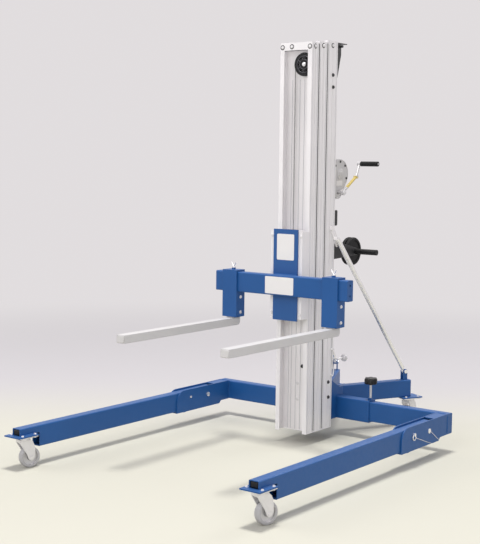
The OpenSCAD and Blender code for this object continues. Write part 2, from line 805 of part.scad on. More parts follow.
module load_bar() color(blue) difference() {
    tube_x(-bar_len / 2, bar_len / 2, (bar_front + bar_back) / 2, bar_foot + tube_h / 2, tube_w, tube_h);
    block([tube_wall - bar_len / 2, bar_front + tube_wall, bar_foot + tube_wall],
        [bar_len / 2 - tube_wall, bar_back - tube_wall, bar_top - tube_wall]);
    for (share = [0.25, 0.75]) bar_x(bar_hole_r, -bar_len / 2 - cut, bar_len / 2 + cut,
        (bar_front + bar_back) / 2, bar_foot + tube_h * share);
}

module fork_bracket(side) color(blue) hand(side) difference() {
    x0 = fork_x - bracket_w / 2;
    x1 = fork_x + bracket_w / 2;
    mid = (bar_front + bar_back) / 2;
    lid = bar_top + bracket_wall;
    union() {
        block([x0, bar_front - bracket_wall, socket_foot], [x1, bar_back + bracket_wall, lid]);
        bar_z(clamp_boss_r, lid - cut, lid + clamp_boss_h, fork_x, mid);
    }
    block([x0 - cut, bar_front - slip, bar_foot - slip], [x1 + cut, bar_back + slip, bar_top + slip]);
    block([fork_x - shank_w / 2 - slip, bar_front - slip, socket_foot - cut],
        [fork_x + shank_w / 2 + slip, bar_back + slip, socket_top]);
    bar_z(clamp_r + run_gap, bar_top, lid + clamp_boss_h + cut, fork_x, mid);
}

module fork(side) color("lightgray") hand(side) {
    foot = fork_top - fork_h;
    difference() {
        slab_x(fork_x - fork_w / 2, fork_x + fork_w / 2) {
            translate([-fork_reach, foot]) square([fork_reach + bar_back - heel_r, fork_h]);
            translate([bar_back - heel_r - cut, foot + heel_r]) square([heel_r + cut, fork_h - heel_r]);
            translate([bar_back - heel_r, foot + heel_r]) circle(r = heel_r);
        }
        block([fork_x - fork_w / 2 + tine_wall, tine_wall - fork_reach, foot + tine_wall],
            [fork_x + fork_w / 2 - tine_wall, bar_front, fork_top - tine_wall]);
    }
    block([fork_x - shank_w / 2, bar_front, fork_top - cut], [fork_x + shank_w / 2, bar_back, socket_top]);
}

// Screw that presses on the load bar, with a collar and two wings to turn it by
module fork_clamp(side) color(steel) hand(side) {
    mid = (bar_front + bar_back) / 2;
    seat = bar_top + bracket_wall + clamp_boss_h + seat_gap;
    top = seat + clamp_collar_h;
    bar_z(clamp_r, bar_top + seat_gap, top, fork_x, mid);
    bar_z(clamp_collar_r, seat, top, fork_x, mid);
    for (s = [-1, 1]) strut(wing_r, [fork_x, mid, top - wing_r], [fork_x + s * wing_x, mid, top + wing_rise]);
}

// Involute teeth: the flank's turn at a radius, and one tooth's points in order
function flank_turn(base, r) = let(a = acos(base / max(base, r))) tan(a) * 180 / PI - a;
function tooth_points(count, at) = let(
    pitch = gear_module * count / 2,
    base = pitch * cos(press_angle),
    tip = pitch + gear_module,
    foot = pitch - tooth_foot_share * gear_module,
    low = max(base, foot),
    half = (PI * gear_module / 2 - backlash) / 2 / pitch * 180 / PI + flank_turn(base, pitch),
    radii = [for (k = [0 : flank_steps]) low + (tip - low) * k / flank_steps])
    concat([swing(at - half, foot)],
        [for (k = [0 : flank_steps]) swing(at - half + flank_turn(base, radii[k]), radii[k])],
        [for (k = [flank_steps : -1 : 0]) swing(at + half - flank_turn(base, radii[k]), radii[k])],
        [swing(at + half, foot)]);
module gear_outline(count, first)
    polygon([for (k = [0 : count - 1], p = tooth_points(count, first + k * 360 / count)) p]);

module winch_frame() color(steel) {
    foot = crank_z - winch_below;
    head = drum_z + winch_above;
    block([-winch_x - winch_t, back_v, foot], [winch_x + winch_t, back_v + winch_base_t, head]);
    difference() {
        for (s = [-1, 1]) slab_x(s * (winch_x + winch_t / 2) - winch_t / 2,
            s * (winch_x + winch_t / 2) + winch_t / 2) {
            polygon([[back_v, foot], [crank_v, foot], [crank_v + winch_round, crank_z],
                [winch_v + winch_round, drum_z], [winch_v, head - winch_round],
                [back_v + winch_round, head], [back_v, head]]);
            translate([crank_v, crank_z]) circle(r = winch_round);
            translate([winch_v, drum_z]) circle(r = winch_round);
        }
        bar_x(drum_shaft_r + run_gap, -mast_half, mast_half, winch_v, drum_z);
        bar_x(axle_r + run_gap, -mast_half, mast_half, crank_v, crank_z);
    }
}

module cover_outline(grow) hull() {
    translate([winch_v, drum_z]) circle(r = gear_r + gear_module + grow);
    translate([crank_v, crank_z]) circle(r = pinion_r + gear_module + grow);
}

module winch_cover() color("lightgray") difference() {
    slab_x(cover_in, cover_out) cover_outline(cover_gap);
    slab_x(cover_in - cut, cover_out - cover_t) cover_outline(cover_gap - cover_t);
    bar_x(axle_r + cover_t, cover_out - 2 * cover_t, cover_out + cut, crank_v, crank_z);
}

module winch_drum() color(steel) {
    bar_x(drum_r, -drum_half, drum_half, winch_v, drum_z);
    for (s = [-1, 1]) bar_x(flange_r, s * (drum_half + flange_t / 2) - flange_t / 2,
        s * (drum_half + flange_t / 2) + flange_t / 2, winch_v, drum_z);
    bar_x(drum_shaft_r, -winch_x - winch_t - cover_t, gear_in + gear_t + cut, winch_v, drum_z);
    translate([gear_in, winch_v, drum_z]) rotate([90, 0, 90]) linear_extrude(gear_t)
        gear_outline(gear_teeth, -90 - pinion_lean);
}

// One unbroken rope round the drum, with a straight stretch at each end
function winding_point(k) = let(a = 360 * k / turn_rings)
    [layer_step * (k / turn_rings - turns / 2), layer_r * cos(a), layer_r * sin(a)];
function winding_path() = let(
    last = turns * turn_rings,
    body = [for (k = [0 : last]) winding_point(k)],
    first_way = body[0] - body[1],
    last_way = body[last] - body[last - 1])
    concat([body[0] + first_way / norm(first_way) * rope_dia], body,
        [body[last] + last_way / norm(last_way) * rope_dia]);
function ring_points(path, k) = let(
    n = len(path) - 1,
    way = path[min(k + 1, n)] - path[max(k - 1, 0)],
    ahead = way / norm(way),
    side = cross(ahead, [1, 0, 0]) / norm(cross(ahead, [1, 0, 0])),
    up = cross(side, ahead))
    [for (s = [0 : rope_sides - 1]) let(a = 360 * s / rope_sides)
        path[k] + rope_r * (cos(a) * side + sin(a) * up)];
winding = winding_path();
winding_gap = min([for (k = [0 : (turns - 1) * turn_rings])
    norm(winding_point(k + turn_rings) - winding_point(k))]) - rope_dia;
echo(winding_gap = winding_gap);

module rope_winding() color(steel) translate([0, winch_v, drum_z]) {
    rings = len(winding);
    last = (rings - 1) * rope_sides;
    polyhedron([for (k = [0 : rings - 1], p = ring_points(winding, k)) p],
        concat([for (s = [1 : rope_sides - 2]) [0, s + 1, s]],
            [for (k = [0 : rings - 2], s = [0 : rope_sides - 1], half = [0, 1]) let(
                a = k * rope_sides + s, b = k * rope_sides + (s + 1) % rope_sides)
                half == 0 ? [a, b, b + rope_sides] : [a, b + rope_sides, a + rope_sides]],
            [for (s = [1 : rope_sides - 2]) [last, last + s, last + s + 1]]));
}

// The pinion's shaft with a bent arm that carries the grip clear of the mast
module winch_crank() color(steel) {
    hub = [(crank_hub_in + crank_hub_out) / 2, crank_v, crank_z];
    eye = [(crank_eye_in + grip_x) / 2, grip_v, grip_z];
    bend = [crank_bend_x, crank_v + (grip_v - crank_v) * crank_bend_share,
        crank_z + (grip_z - crank_z) * crank_bend_share];
    bar_x(axle_r, -winch_x - winch_t - cover_t, crank_hub_out, crank_v, crank_z);
    translate([gear_in, crank_v, crank_z]) rotate([90, 0, 90]) linear_extrude(gear_t)
        gear_outline(pinion_teeth, 90 - pinion_lean + 180 / pinion_teeth);
    bar_x(crank_hub_r, crank_hub_in, crank_hub_out, crank_v, crank_z);
    strut(crank_low_r, hub, bend);
    strut(crank_r, bend, eye);
    bar_x(crank_knuckle_r, crank_bend_x - crank_knuckle_r, crank_bend_x + crank_knuckle_r, bend[1], bend[2]);
    bar_x(crank_eye_r, crank_eye_in, grip_x, grip_v, grip_z);
    bar_x(grip_pin_r, grip_x - cut, grip_x + grip_len + seat_gap, grip_v, grip_z);
}

module crank_grip() color(black) translate([grip_x + seat_gap, grip_v, grip_z]) rotate([0, 90, 0])
    rotate_extrude() {
        translate([grip_pin_r + run_gap, 0]) square([grip_r - grip_pin_r - run_gap - groove_d, grip_len]);
        translate([grip_pin_r + run_gap, groove_d])
            square([grip_r - grip_pin_r - run_gap, grip_len - 2 * groove_d]);
    }

module wheel_bracket() color(dark) difference() {
    union() {
        block([-stay_half, back_v, wheel_z - stay_foot], [stay_half, back_v + stay_t, wheel_z + stay_head]);
        for (s = [0, 1]) mirror([s, 0, 0]) slab_x(stay_x, stay_x + stay_t) {
            polygon([[back_v, wheel_z - stay_foot], [wheel_v, wheel_z - stay_toe],
                [wheel_v, wheel_z + stay_toe], [back_v + stay_half, wheel_z + stay_head],
                [back_v, wheel_z + stay_head]]);
            translate([wheel_v, wheel_z]) circle(r = stay_toe);
        }
    }
    bar_x(big_axle_r + run_gap, -mast_half, mast_half, wheel_v, wheel_z);
}

module wheel_grips() color(black) {
    inner = stay_x + stay_t;
    bar_x(big_axle_r, -inner - handle_len, inner + handle_len, wheel_v, wheel_z);
    for (s = [-1, 1]) bar_x(handle_r, s * (inner + handle_len / 2) - handle_len / 2,
        s * (inner + handle_len / 2) + handle_len / 2, wheel_v, wheel_z);
}

// Two rims side by side on one hub
module transport_wheel() color(black) translate([0, wheel_v, wheel_z]) rotate([0, 90, 0]) rotate_extrude() {
    rim = (big_wheel_w - rim_gap) / 2;
    for (s = [-1, 1]) translate([0, s * (rim + rim_gap) / 2])
        wheel_outline(big_wheel_r, rim, big_round, big_wheel_r - 2 * big_round, rim - 2 * rim_gap,
            big_hub_r, rim + rim_gap + slide_gap, big_axle_r + run_gap);
}

// Moves the mast's frame so that the origin lies below the middle of the hoist
module stand() translate([0, mast_y, 0]) children();

stand() cross_sleeve();
stand() mast_mount();
stand() rear_arm(-1);  // rear_arm_left
stand() rear_arm(1);  // rear_arm_right
stand() brace(-1);  // brace_left
stand() brace(1);  // brace_right
stand() rear_caster_plates();
stand() at_rear_caster(-1) caster_fork();  // rear_caster_fork_left
stand() at_rear_caster(1) caster_fork();  // rear_caster_fork_right
stand() at_rear_caster(-1) caster_wheel();  // rear_wheel_left
stand() at_rear_caster(1) caster_wheel();  // rear_wheel_right
stand() front_caster_plate(-1);  // front_caster_plate_left
stand() front_caster_plate(1);  // front_caster_plate_right
stand() at_front_caster(-1, caster_turn) caster_fork();  // front_caster_fork_left
stand() at_front_caster(1, caster_turn) caster_fork();  // front_caster_fork_right
stand() at_front_caster(-1, caster_turn) caster_wheel();  // front_wheel_left
stand() at_front_caster(1, caster_turn) caster_wheel();  // front_wheel_right
stand() cross_tube(-1);  // cross_tube_left
stand() cross_tube(1);  // cross_tube_right
stand() leg_bracket(-1);  // leg_bracket_left
stand() leg_bracket(1);  // leg_bracket_right
stand() leg(-1);  // leg_left
stand() leg(1);  // leg_right
stand() lock_pin(-1);  // lock_pin_left
stand() lock_pin(1);  // lock_pin_right
stand() fold_pin(-1);  // fold_pin_left
stand() fold_pin(1);  // fold_pin_right
stand() width_knob(-1);  // width_knob_left
stand() width_knob(1);  // width_knob_right
stand() rear_column();
stand() middle_column();
stand() front_column();
stand() slide_pads(middle_v + middle_d);  // middle_slide_pads
stand() slide_pads(front_v + front_d);  // front_slide_pads
stand() carriage_pads();
stand() carriage();
stand() load_bar();
stand() fork_bracket(-1);  // fork_bracket_left
stand() fork_bracket(1);  // fork_bracket_right
stand() fork(-1);  // fork_left
stand() fork(1);  // fork_right
stand() fork_clamp(-1);  // fork_clamp_left
stand() fork_clamp(1);  // fork_clamp_right
stand() front_sheave();
stand() middle_sheave();
stand() rear_sheave();
stand() sheave_guard();
stand() winch_frame();
stand() winch_cover();
stand() winch_drum();
stand() rope_winding();
stand() winch_crank();
stand() crank_grip();
stand() lift_rope();
stand() mast_rope();
stand() column_rope();
stand() carriage_rope();
stand() wheel_bracket();
stand() wheel_grips();
stand() transport_wheel();
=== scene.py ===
import json
import math

import bmesh
import bpy
from mathutils import Matrix, Vector


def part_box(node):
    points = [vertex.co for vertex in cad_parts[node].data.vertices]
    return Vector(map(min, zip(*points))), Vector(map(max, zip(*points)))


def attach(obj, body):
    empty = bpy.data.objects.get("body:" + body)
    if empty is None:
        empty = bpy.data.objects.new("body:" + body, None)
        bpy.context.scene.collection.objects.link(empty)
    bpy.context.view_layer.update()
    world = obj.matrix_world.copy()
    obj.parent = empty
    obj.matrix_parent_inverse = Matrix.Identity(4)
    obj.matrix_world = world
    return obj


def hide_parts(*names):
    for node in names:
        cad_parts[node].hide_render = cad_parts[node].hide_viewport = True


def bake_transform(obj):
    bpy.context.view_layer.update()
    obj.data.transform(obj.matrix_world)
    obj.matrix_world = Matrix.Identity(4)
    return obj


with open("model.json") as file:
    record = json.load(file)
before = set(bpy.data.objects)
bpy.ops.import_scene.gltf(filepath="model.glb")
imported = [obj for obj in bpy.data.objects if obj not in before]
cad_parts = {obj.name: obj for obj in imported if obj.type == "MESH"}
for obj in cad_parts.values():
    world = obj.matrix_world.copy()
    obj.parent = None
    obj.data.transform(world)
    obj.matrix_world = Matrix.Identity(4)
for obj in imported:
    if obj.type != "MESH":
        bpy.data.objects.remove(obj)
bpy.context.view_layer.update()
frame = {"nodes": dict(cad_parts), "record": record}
nodes = frame["nodes"]
scene = bpy.context.scene
scene.view_settings.view_transform = "Standard"
print("frame loaded:", len(nodes), "nodes")

# places are in mm from the mast's own middle: x across, v to the back, z up from the floor
sides = (("left", -1), ("right", 1))
halfDepth = 0.116
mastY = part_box("rear_column")[1].y - halfDepth
mastSide, webFace, lipFace = 95, -59, -116  # the columns' outer side, front web and front lips
drumShaft, crankShaft = (213, 1375), (196.3, 1280.5)  # v and z of the winch's two shafts
legX, legFront = 686.5, -1304  # a leg's middle and the front caster's swivel
forkX = 305


def onMast(x, v, z):
    return Vector((x / 1000, mastY + v / 1000, z / 1000))


# the camera's place, solved from the mast, legs and load bar
camera = {
    "place": (3352.7, -4932.3, 1433.2),
    "azimuth": 37.444,
    "down": 5.406,
    "roll": 0.637,
    "focalPixels": 1166.85,
    "frameHeight": 544,
    "sensor": 36.0,
}


def setCamera(values):
    a, e, r = (math.radians(values[k]) for k in ("azimuth", "down", "roll"))
    ahead = Vector((-math.sin(a) * math.cos(e), math.cos(a) * math.cos(e), -math.sin(e)))
    right = Vector((math.cos(a), math.sin(a), 0))
    up = right.cross(ahead)
    turnedRight = right * math.cos(r) + up * math.sin(r)
    turnedUp = up * math.cos(r) - right * math.sin(r)
    data = bpy.data.cameras.new("photoCamera")
    data.sensor_width = values["sensor"]
    data.lens = values["focalPixels"] / values["frameHeight"] * values["sensor"]
    obj = bpy.data.objects.new("photoCamera", data)
    scene.collection.objects.link(obj)
    turn = Matrix((turnedRight, turnedUp, -ahead)).transposed()
    obj.matrix_world = Matrix.Translation(onMast(*values["place"])) @ turn.to_4x4()
    scene.camera = obj


setCamera(camera)

# the studio: a wide pale floor that melts into the backdrop's colour, lit from above and all round
studio = {
    "radius": 60.0,
    "segments": 96,
    "roughness": 0.9,
    "meltFrom": 2.4,
    "meltTo": 6.5,
    "floorColor": (0.535, 0.524, 0.452),
    "farColor": (0.49, 0.474, 0.484),
    "farWay": (-0.608, 0.794, 0.0),
    "farFrom": 0.2,
    "farTo": 2.0,
    "backdropColor": (0.755, 0.725, 0.735),
    "worldColor": (0.91, 0.89, 0.99),
    "worldStrength": 0.50,
}
lamps = {
    "key": {"place": (0.1, -0.6, 11.0), "size": 1.8, "power": 1000.0, "aim": (0, -0.4, 0),
            "color": (1.0, 0.985, 0.945)},
    "front": {"place": (1.6, -6.6, 3.2), "size": 3.6, "power": 150.0, "aim": (0, 0, 1.0)},
    "fill": {"place": (4.6, -2.5, 1.7), "size": 3.0, "power": 40.0, "aim": (0.4, -0.3, 0.1)},
    "left": {"place": (-5.0, -3.5, 3.6), "size": 3.0, "power": 90.0, "aim": (0, 0, 0.6)},
    "rim": {"place": (1.5, 5.0, 4.5), "size": 3.0, "power": 90.0, "aim": (0, 0, 1.0)},
}


def linkMesh(name, bm):
    mesh = bpy.data.meshes.new(name)
    bm.to_mesh(mesh)
    bm.free()
    obj = bpy.data.objects.new(name, mesh)
    scene.collection.objects.link(obj)
    return obj


def addLamps(table):
    for name, values in table.items():
        data = bpy.data.lights.new(name, "AREA")
        data.size = values["size"]
        data.energy = values["power"]
        data.color = values.get("color", (1, 1, 1))
        lamp = bpy.data.objects.new(name, data)
        lamp.location = values["place"]
        way = Vector(values["aim"]) - Vector(values["place"])
        lamp.rotation_euler = way.to_track_quat("-Z", "Y").to_euler()
        scene.collection.objects.link(lamp)


def seenRay(tree):
    # camera, glossy and see-through rays all meet the backdrop
    path = addNode(tree, "ShaderNodeLightPath").outputs
    ray = mathNode(tree, "MAXIMUM", path["Is Camera Ray"], path["Is Glossy Ray"])
    return mathNode(tree, "MAXIMUM", ray, path["Is Transmission Ray"])


def addStudio(values):
    bm = bmesh.new()
    bmesh.ops.create_circle(bm, cap_ends=True, segments=values["segments"], radius=values["radius"])
    floor = linkMesh("studioFloor", bm)
    material, tree, shader = startMaterial("studioPaper")
    shader.inputs["Roughness"].default_value = values["roughness"]
    place = objectPoint(tree)
    along = vectorNode(tree, "DOT_PRODUCT", place, values["farWay"])
    far = rangeNode(tree, along, values["farFrom"], values["farTo"], "SMOOTHSTEP")
    color = mixColor(tree, far, opaque(values["floorColor"]), opaque(values["farColor"]))
    tree.links.new(color, shader.inputs["Base Color"])
    reach = vectorNode(tree, "LENGTH", place)
    melt = rangeNode(tree, reach, values["meltFrom"], values["meltTo"], "SMOOTHSTEP")
    glow = addNode(tree, "ShaderNodeEmission", {}, {"Color": opaque(values["backdropColor"])})
    mix = addNode(tree, "ShaderNodeMixShader", {}, {
        0: mathNode(tree, "MULTIPLY", melt, seenRay(tree)), 1: shader.outputs["BSDF"],
        2: glow.outputs["Emission"]})
    tree.links.new(mix.outputs["Shader"], tree.nodes["Material Output"].inputs["Surface"])
    floor.data.materials.append(material)
    world = bpy.data.worlds.new("studioWorld")
    world.use_nodes = True
    tree = world.node_tree
    sky = tree.nodes["Background"]
    sky.inputs["Color"].default_value = opaque(values["worldColor"])
    sky.inputs["Strength"].default_value = values["worldStrength"]
    backdrop = addNode(tree, "ShaderNodeBackground", {}, {"Color": opaque(values["backdropColor"])})
    mix = addNode(tree, "ShaderNodeMixShader", {}, {
        0: seenRay(tree), 1: sky.outputs["Background"], 2: backdrop.outputs["Background"]})
    tree.links.new(mix.outputs["Shader"], tree.nodes["World Output"].inputs["Surface"])
    scene.world = world


# node helpers: a value in the inputs is either a number, a colour or another node's output
def addNode(tree, kind, settings=None, inputs=None):
    node = tree.nodes.new(kind)
    for key, value in (settings or {}).items():
        setattr(node, key, value)
    for label, value in (inputs or {}).items():
        if isinstance(value, bpy.types.NodeSocket):
            tree.links.new(value, node.inputs[label])
        else:
            node.inputs[label].default_value = value
    return node


def opaque(color):
    return (*color, 1)


def mixColor(tree, factor, first, second, mode="MIX"):
    # sockets 0, 6 and 7 are the colour mix's factor and its two colours
    return addNode(tree, "ShaderNodeMix", {"data_type": "RGBA", "blend_type": mode},
                   {0: factor, 6: first, 7: second}).outputs[2]


def mathNode(tree, operation, first, second=0.0, clamp=False):
    return addNode(tree, "ShaderNodeMath", {"operation": operation, "use_clamp": clamp},
                   {0: first, 1: second}).outputs[0]


def vectorNode(tree, operation, first, second=(0, 0, 0)):
    node = addNode(tree, "ShaderNodeVectorMath", {"operation": operation}, {0: first, 1: second})
    return node.outputs["Value" if operation in ("DOT_PRODUCT", "LENGTH") else "Vector"]


def rangeNode(tree, value, low, high, kind="LINEAR"):
    return addNode(tree, "ShaderNodeMapRange", {"interpolation_type": kind}, {
        "Value": value, "From Min": low, "From Max": high}).outputs["Result"]


def objectPoint(tree):
    return addNode(tree, "ShaderNodeTexCoord").outputs["Object"]


def noiseNode(tree, vector, scale, detail, roughness=0.5):
    return addNode(tree, "ShaderNodeTexNoise", {}, {
        "Vector": vector, "Scale": scale, "Detail": detail, "Roughness": roughness}).outputs["Fac"]


def centredNode(tree, noise):
    return mathNode(tree, "SUBTRACT", noise, 0.5)


def greyGain(tree, centred, amount):
    gain = mathNode(tree, "ADD", mathNode(tree, "MULTIPLY", centred, amount), 1.0)
    return addNode(tree, "ShaderNodeCombineColor", {}, {
        "Red": gain, "Green": gain, "Blue": gain}).outputs["Color"]


def newGroup(name, inputs, outputs):
    tree = bpy.data.node_groups.new(name, "ShaderNodeTree")
    for label, kind, value in inputs:
        socket = tree.interface.new_socket(label, in_out="INPUT", socket_type="NodeSocket" + kind)
        socket.default_value = value
    for label, kind in outputs:
        tree.interface.new_socket(label, in_out="OUTPUT", socket_type="NodeSocket" + kind)
    return tree, tree.nodes.new("NodeGroupInput").outputs, tree.nodes.new("NodeGroupOutput").inputs


# slow drift of tone over a painted or cast surface
toneDrift = {"detail": 4.0, "fineScale": 45.0, "fineDetail": 3.0, "fineShift": 0.25}


def buildToneGroup(values):
    tree, given, out = newGroup("toneDrift", [
        ("Color", "Color", (0.5, 0.5, 0.5, 1)), ("Amount", "Float", 0.1), ("Scale", "Float", 4.0)],
        [("Color", "Color"), ("Roughness Shift", "Float")])
    slow = noiseNode(tree, objectPoint(tree), given["Scale"], values["detail"])
    gain = greyGain(tree, centredNode(tree, slow), given["Amount"])
    tree.links.new(mixColor(tree, 1.0, given["Color"], gain, "MULTIPLY"), out["Color"])
    fine = noiseNode(tree, objectPoint(tree), values["fineScale"], values["fineDetail"])
    tree.links.new(mathNode(tree, "MULTIPLY", centredNode(tree, fine), values["fineShift"]),
                   out["Roughness Shift"])
    return tree


# paint rubbed thin along edges, broken up by noise
bevelSamples = 4
edgeRub = {"bent": (0.99, 0.8), "scale": 60.0, "detail": 5.0, "broken": (0.5, 0.62)}


def bevelNormal(tree, width):
    return addNode(tree, "ShaderNodeBevel", {"samples": bevelSamples}, {"Radius": width}).outputs["Normal"]


def buildEdgeGroup(values):
    tree, given, out = newGroup("edgeRub", [("Width", "Float", 0.002), ("Amount", "Float", 0.6)],
                                [("Mask", "Float")])
    true = addNode(tree, "ShaderNodeNewGeometry").outputs["Normal"]
    same = vectorNode(tree, "DOT_PRODUCT", bevelNormal(tree, given["Width"]), true)
    edge = rangeNode(tree, same, *values["bent"])
    noise = noiseNode(tree, objectPoint(tree), values["scale"], values["detail"])
    rubbed = mathNode(tree, "MULTIPLY", edge, rangeNode(tree, noise, *values["broken"]))
    tree.links.new(mathNode(tree, "MULTIPLY", rubbed, given["Amount"]), out["Mask"])
    return tree


# dust on faces that look up
dustFilm = {"facing": (0.3, 1.0), "scale": 9.0, "detail": 6.0}


def buildDustGroup(values):
    tree, given, out = newGroup("dustFilm", [("Amount", "Float", 0.2)], [("Mask", "Float")])
    true = addNode(tree, "ShaderNodeNewGeometry").outputs["Normal"]
    split = addNode(tree, "ShaderNodeSeparateXYZ", {}, {"Vector": true})
    facing = rangeNode(tree, split.outputs["Z"], *values["facing"])
    noise = noiseNode(tree, objectPoint(tree), values["scale"], values["detail"])
    settled = mathNode(tree, "MULTIPLY", facing, noise)
    tree.links.new(mathNode(tree, "MULTIPLY", settled, given["Amount"]), out["Mask"])
    return tree


def buildGrainGroup():
    # orange peel of sprayed paint, or the fine grain of moulded plastic
    tree, given, out = newGroup("fineGrain", [("Scale", "Float", 600.0), ("Detail", "Float", 2.0)],
                                [("Height", "Float")])
    tree.links.new(noiseNode(tree, objectPoint(tree), given["Scale"], given["Detail"]), out["Height"])
    return tree


# drawn lines of an extrusion or a brushed bar, stretched along one axis
drawnLines = {"detail": 3.0, "roughness": 0.6, "shift": 2.0}


def buildDrawnGroup(values):
    tree, given, out = newGroup("drawnLines", [
        ("Stretch", "Vector", (300.0, 300.0, 1.0)), ("Amount", "Float", 0.1)],
        [("Gain", "Color"), ("Height", "Float"), ("Roughness Shift", "Float")])
    drawn = vectorNode(tree, "MULTIPLY", objectPoint(tree), given["Stretch"])
    noise = noiseNode(tree, drawn, 1.0, values["detail"], values["roughness"])
    centred = centredNode(tree, noise)
    tree.links.new(greyGain(tree, centred, given["Amount"]), out["Gain"])
    tree.links.new(noise, out["Height"])
    spread = mathNode(tree, "MULTIPLY", given["Amount"], values["shift"])
    tree.links.new(mathNode(tree, "MULTIPLY", centred, spread), out["Roughness Shift"])
    return tree


def buildSoftGroup():
    # the rounded corner of a rolled or sprayed edge
    tree, given, out = newGroup("softEdge", [("Width", "Float", 0.002)], [("Normal", "Vector")])
    tree.links.new(bevelNormal(tree, given["Width"]), out["Normal"])
    return tree


groups = {
    "soft": buildSoftGroup(),
    "tone": buildToneGroup(toneDrift),
    "edge": buildEdgeGroup(edgeRub),
    "dust": buildDustGroup(dustFilm),
    "grain": buildGrainGroup(),
    "drawn": buildDrawnGroup(drawnLines),
}
print("shader groups:", ", ".join(g.name for g in groups.values()))


def useGroup(tree, name, inputs):
    return addNode(tree, "ShaderNodeGroup", {"node_tree": groups[name]}, inputs).outputs


def startMaterial(name):
    material = bpy.data.materials.new(name)
    material.use_nodes = True
    return material, material.node_tree, material.node_tree.nodes["Principled BSDF"]


def bumpFrom(tree, shader, height, strength, depth, soft=0.0):
    bump = addNode(tree, "ShaderNodeBump", {}, {"Height": height, "Strength": strength, "Distance": depth})
    if soft:
        tree.links.new(useGroup(tree, "soft", {"Width": soft})["Normal"], bump.inputs["Normal"])
    tree.links.new(bump.outputs["Normal"], shader.inputs["Normal"])


def grainBump(tree, shader, scale, detail, strength, depth, soft=0.0):
    height = useGroup(tree, "grain", {"Scale": scale, "Detail": detail})["Height"]
    bumpFrom(tree, shader, height, strength, depth, soft)


def roughnessFrom(tree, shader, base, shift):
    tree.links.new(mathNode(tree, "ADD", shift, base, True), shader.inputs["Roughness"])


def toneFrom(tree, color, amount, scale):
    return useGroup(tree, "tone", {"Color": color, "Amount": amount, "Scale": scale})


dustColor = (0.55, 0.53, 0.49, 1)


def dustOver(tree, shader, color, amount):
    dusty = useGroup(tree, "dust", {"Amount": amount})["Mask"]
    tree.links.new(mixColor(tree, dusty, color, dustColor), shader.inputs["Base Color"])


# painted metal: drift of tone, rubbed edges, dust and peel
paints = {
    "bluePaint": {"color": (0.009, 0.080, 0.268), "drift": 0.22, "roughness": 0.44, "coat": 0.06,
                  "level": 0.35, "bare": (0.16, 0.20, 0.28), "rub": 0.35, "rubWidth": 0.002,
                  "dust": 0.07, "peel": 420.0, "soft": 0.0015},
    "greyPaint": {"color": (0.58, 0.57, 0.57), "drift": 0.16, "roughness": 0.44, "coat": 0.05,
                  "level": 0.4, "bare": (0.34, 0.33, 0.32), "rub": 0.5, "rubWidth": 0.002,
                  "dust": 0.10, "peel": 500.0, "soft": 0.004},
    "darkPaint": {"color": (0.022, 0.022, 0.024), "drift": 0.3, "roughness": 0.45, "coat": 0.05,
                  "level": 0.4, "bare": (0.22, 0.22, 0.22), "rub": 0.5, "rubWidth": 0.0015,
                  "dust": 0.12, "peel": 500.0, "soft": 0.0015},
}
sprayed = {"driftScale": 3.5, "coatRoughness": 0.25, "detail": 1.0, "height": 0.12, "depth": 0.0006}


def makePaint(tree, shader, values):
    tone = toneFrom(tree, opaque(values["color"]), values["drift"], sprayed["driftScale"])
    rubbed = useGroup(tree, "edge", {"Width": values["rubWidth"], "Amount": values["rub"]})["Mask"]
    dustOver(tree, shader, mixColor(tree, rubbed, tone["Color"], opaque(values["bare"])), values["dust"])
    roughnessFrom(tree, shader, values["roughness"], tone["Roughness Shift"])
    shader.inputs["Coat Weight"].default_value = values["coat"]
    shader.inputs["Coat Roughness"].default_value = sprayed["coatRoughness"]
    shader.inputs["Specular IOR Level"].default_value = values["level"]
    grainBump(tree, shader, values["peel"], sprayed["detail"], sprayed["height"], sprayed["depth"],
              values["soft"])


# bare metal: drawn lines along the stretch's small axis
metals = {
    "mastAlloy": {"color": (0.80, 0.78, 0.79), "metallic": 0.12, "roughness": 0.46, "lines": 0.12,
                  "stretch": (260.0, 260.0, 0.7), "height": 0.10, "dust": 0.1},
    # a darker alloy whose colour paints the shade in the mast's grooves
    "grooveAlloy": {"color": (0.56, 0.55, 0.57), "metallic": 0.25, "roughness": 0.5, "lines": 0.10,
                    "stretch": (260.0, 260.0, 0.7), "height": 0.05, "dust": 0.1},
    "brightSteel": {"color": (0.88, 0.87, 0.87), "metallic": 0.8, "roughness": 0.26, "lines": 0.03,
                    "stretch": (14.0, 14.0, 14.0), "height": 0.01, "dust": 0.02},
    "zincSteel": {"color": (0.72, 0.71, 0.72), "metallic": 0.5, "roughness": 0.36, "lines": 0.18,
                  "stretch": (60.0, 60.0, 60.0), "height": 0.06, "dust": 0.1},
    "strandSteel": {"color": (0.40, 0.40, 0.40), "metallic": 0.7, "roughness": 0.4, "lines": 0.4,
                    "stretch": (900.0, 900.0, 900.0), "height": 0.2, "dust": 0.1},
}
rolled = {"drift": 0.14, "driftScale": 5.0, "depth": 0.0005}


def makeMetal(tree, shader, values):
    drawn = useGroup(tree, "drawn", {"Stretch": values["stretch"], "Amount": values["lines"]})
    tone = toneFrom(tree, opaque(values["color"]), rolled["drift"], rolled["driftScale"])
    dustOver(tree, shader, mixColor(tree, 1.0, tone["Color"], drawn["Gain"], "MULTIPLY"), values["dust"])
    shader.inputs["Metallic"].default_value = values["metallic"]
    roughnessFrom(tree, shader, values["roughness"], drawn["Roughness Shift"])
    bumpFrom(tree, shader, drawn["Height"], values["height"], rolled["depth"])


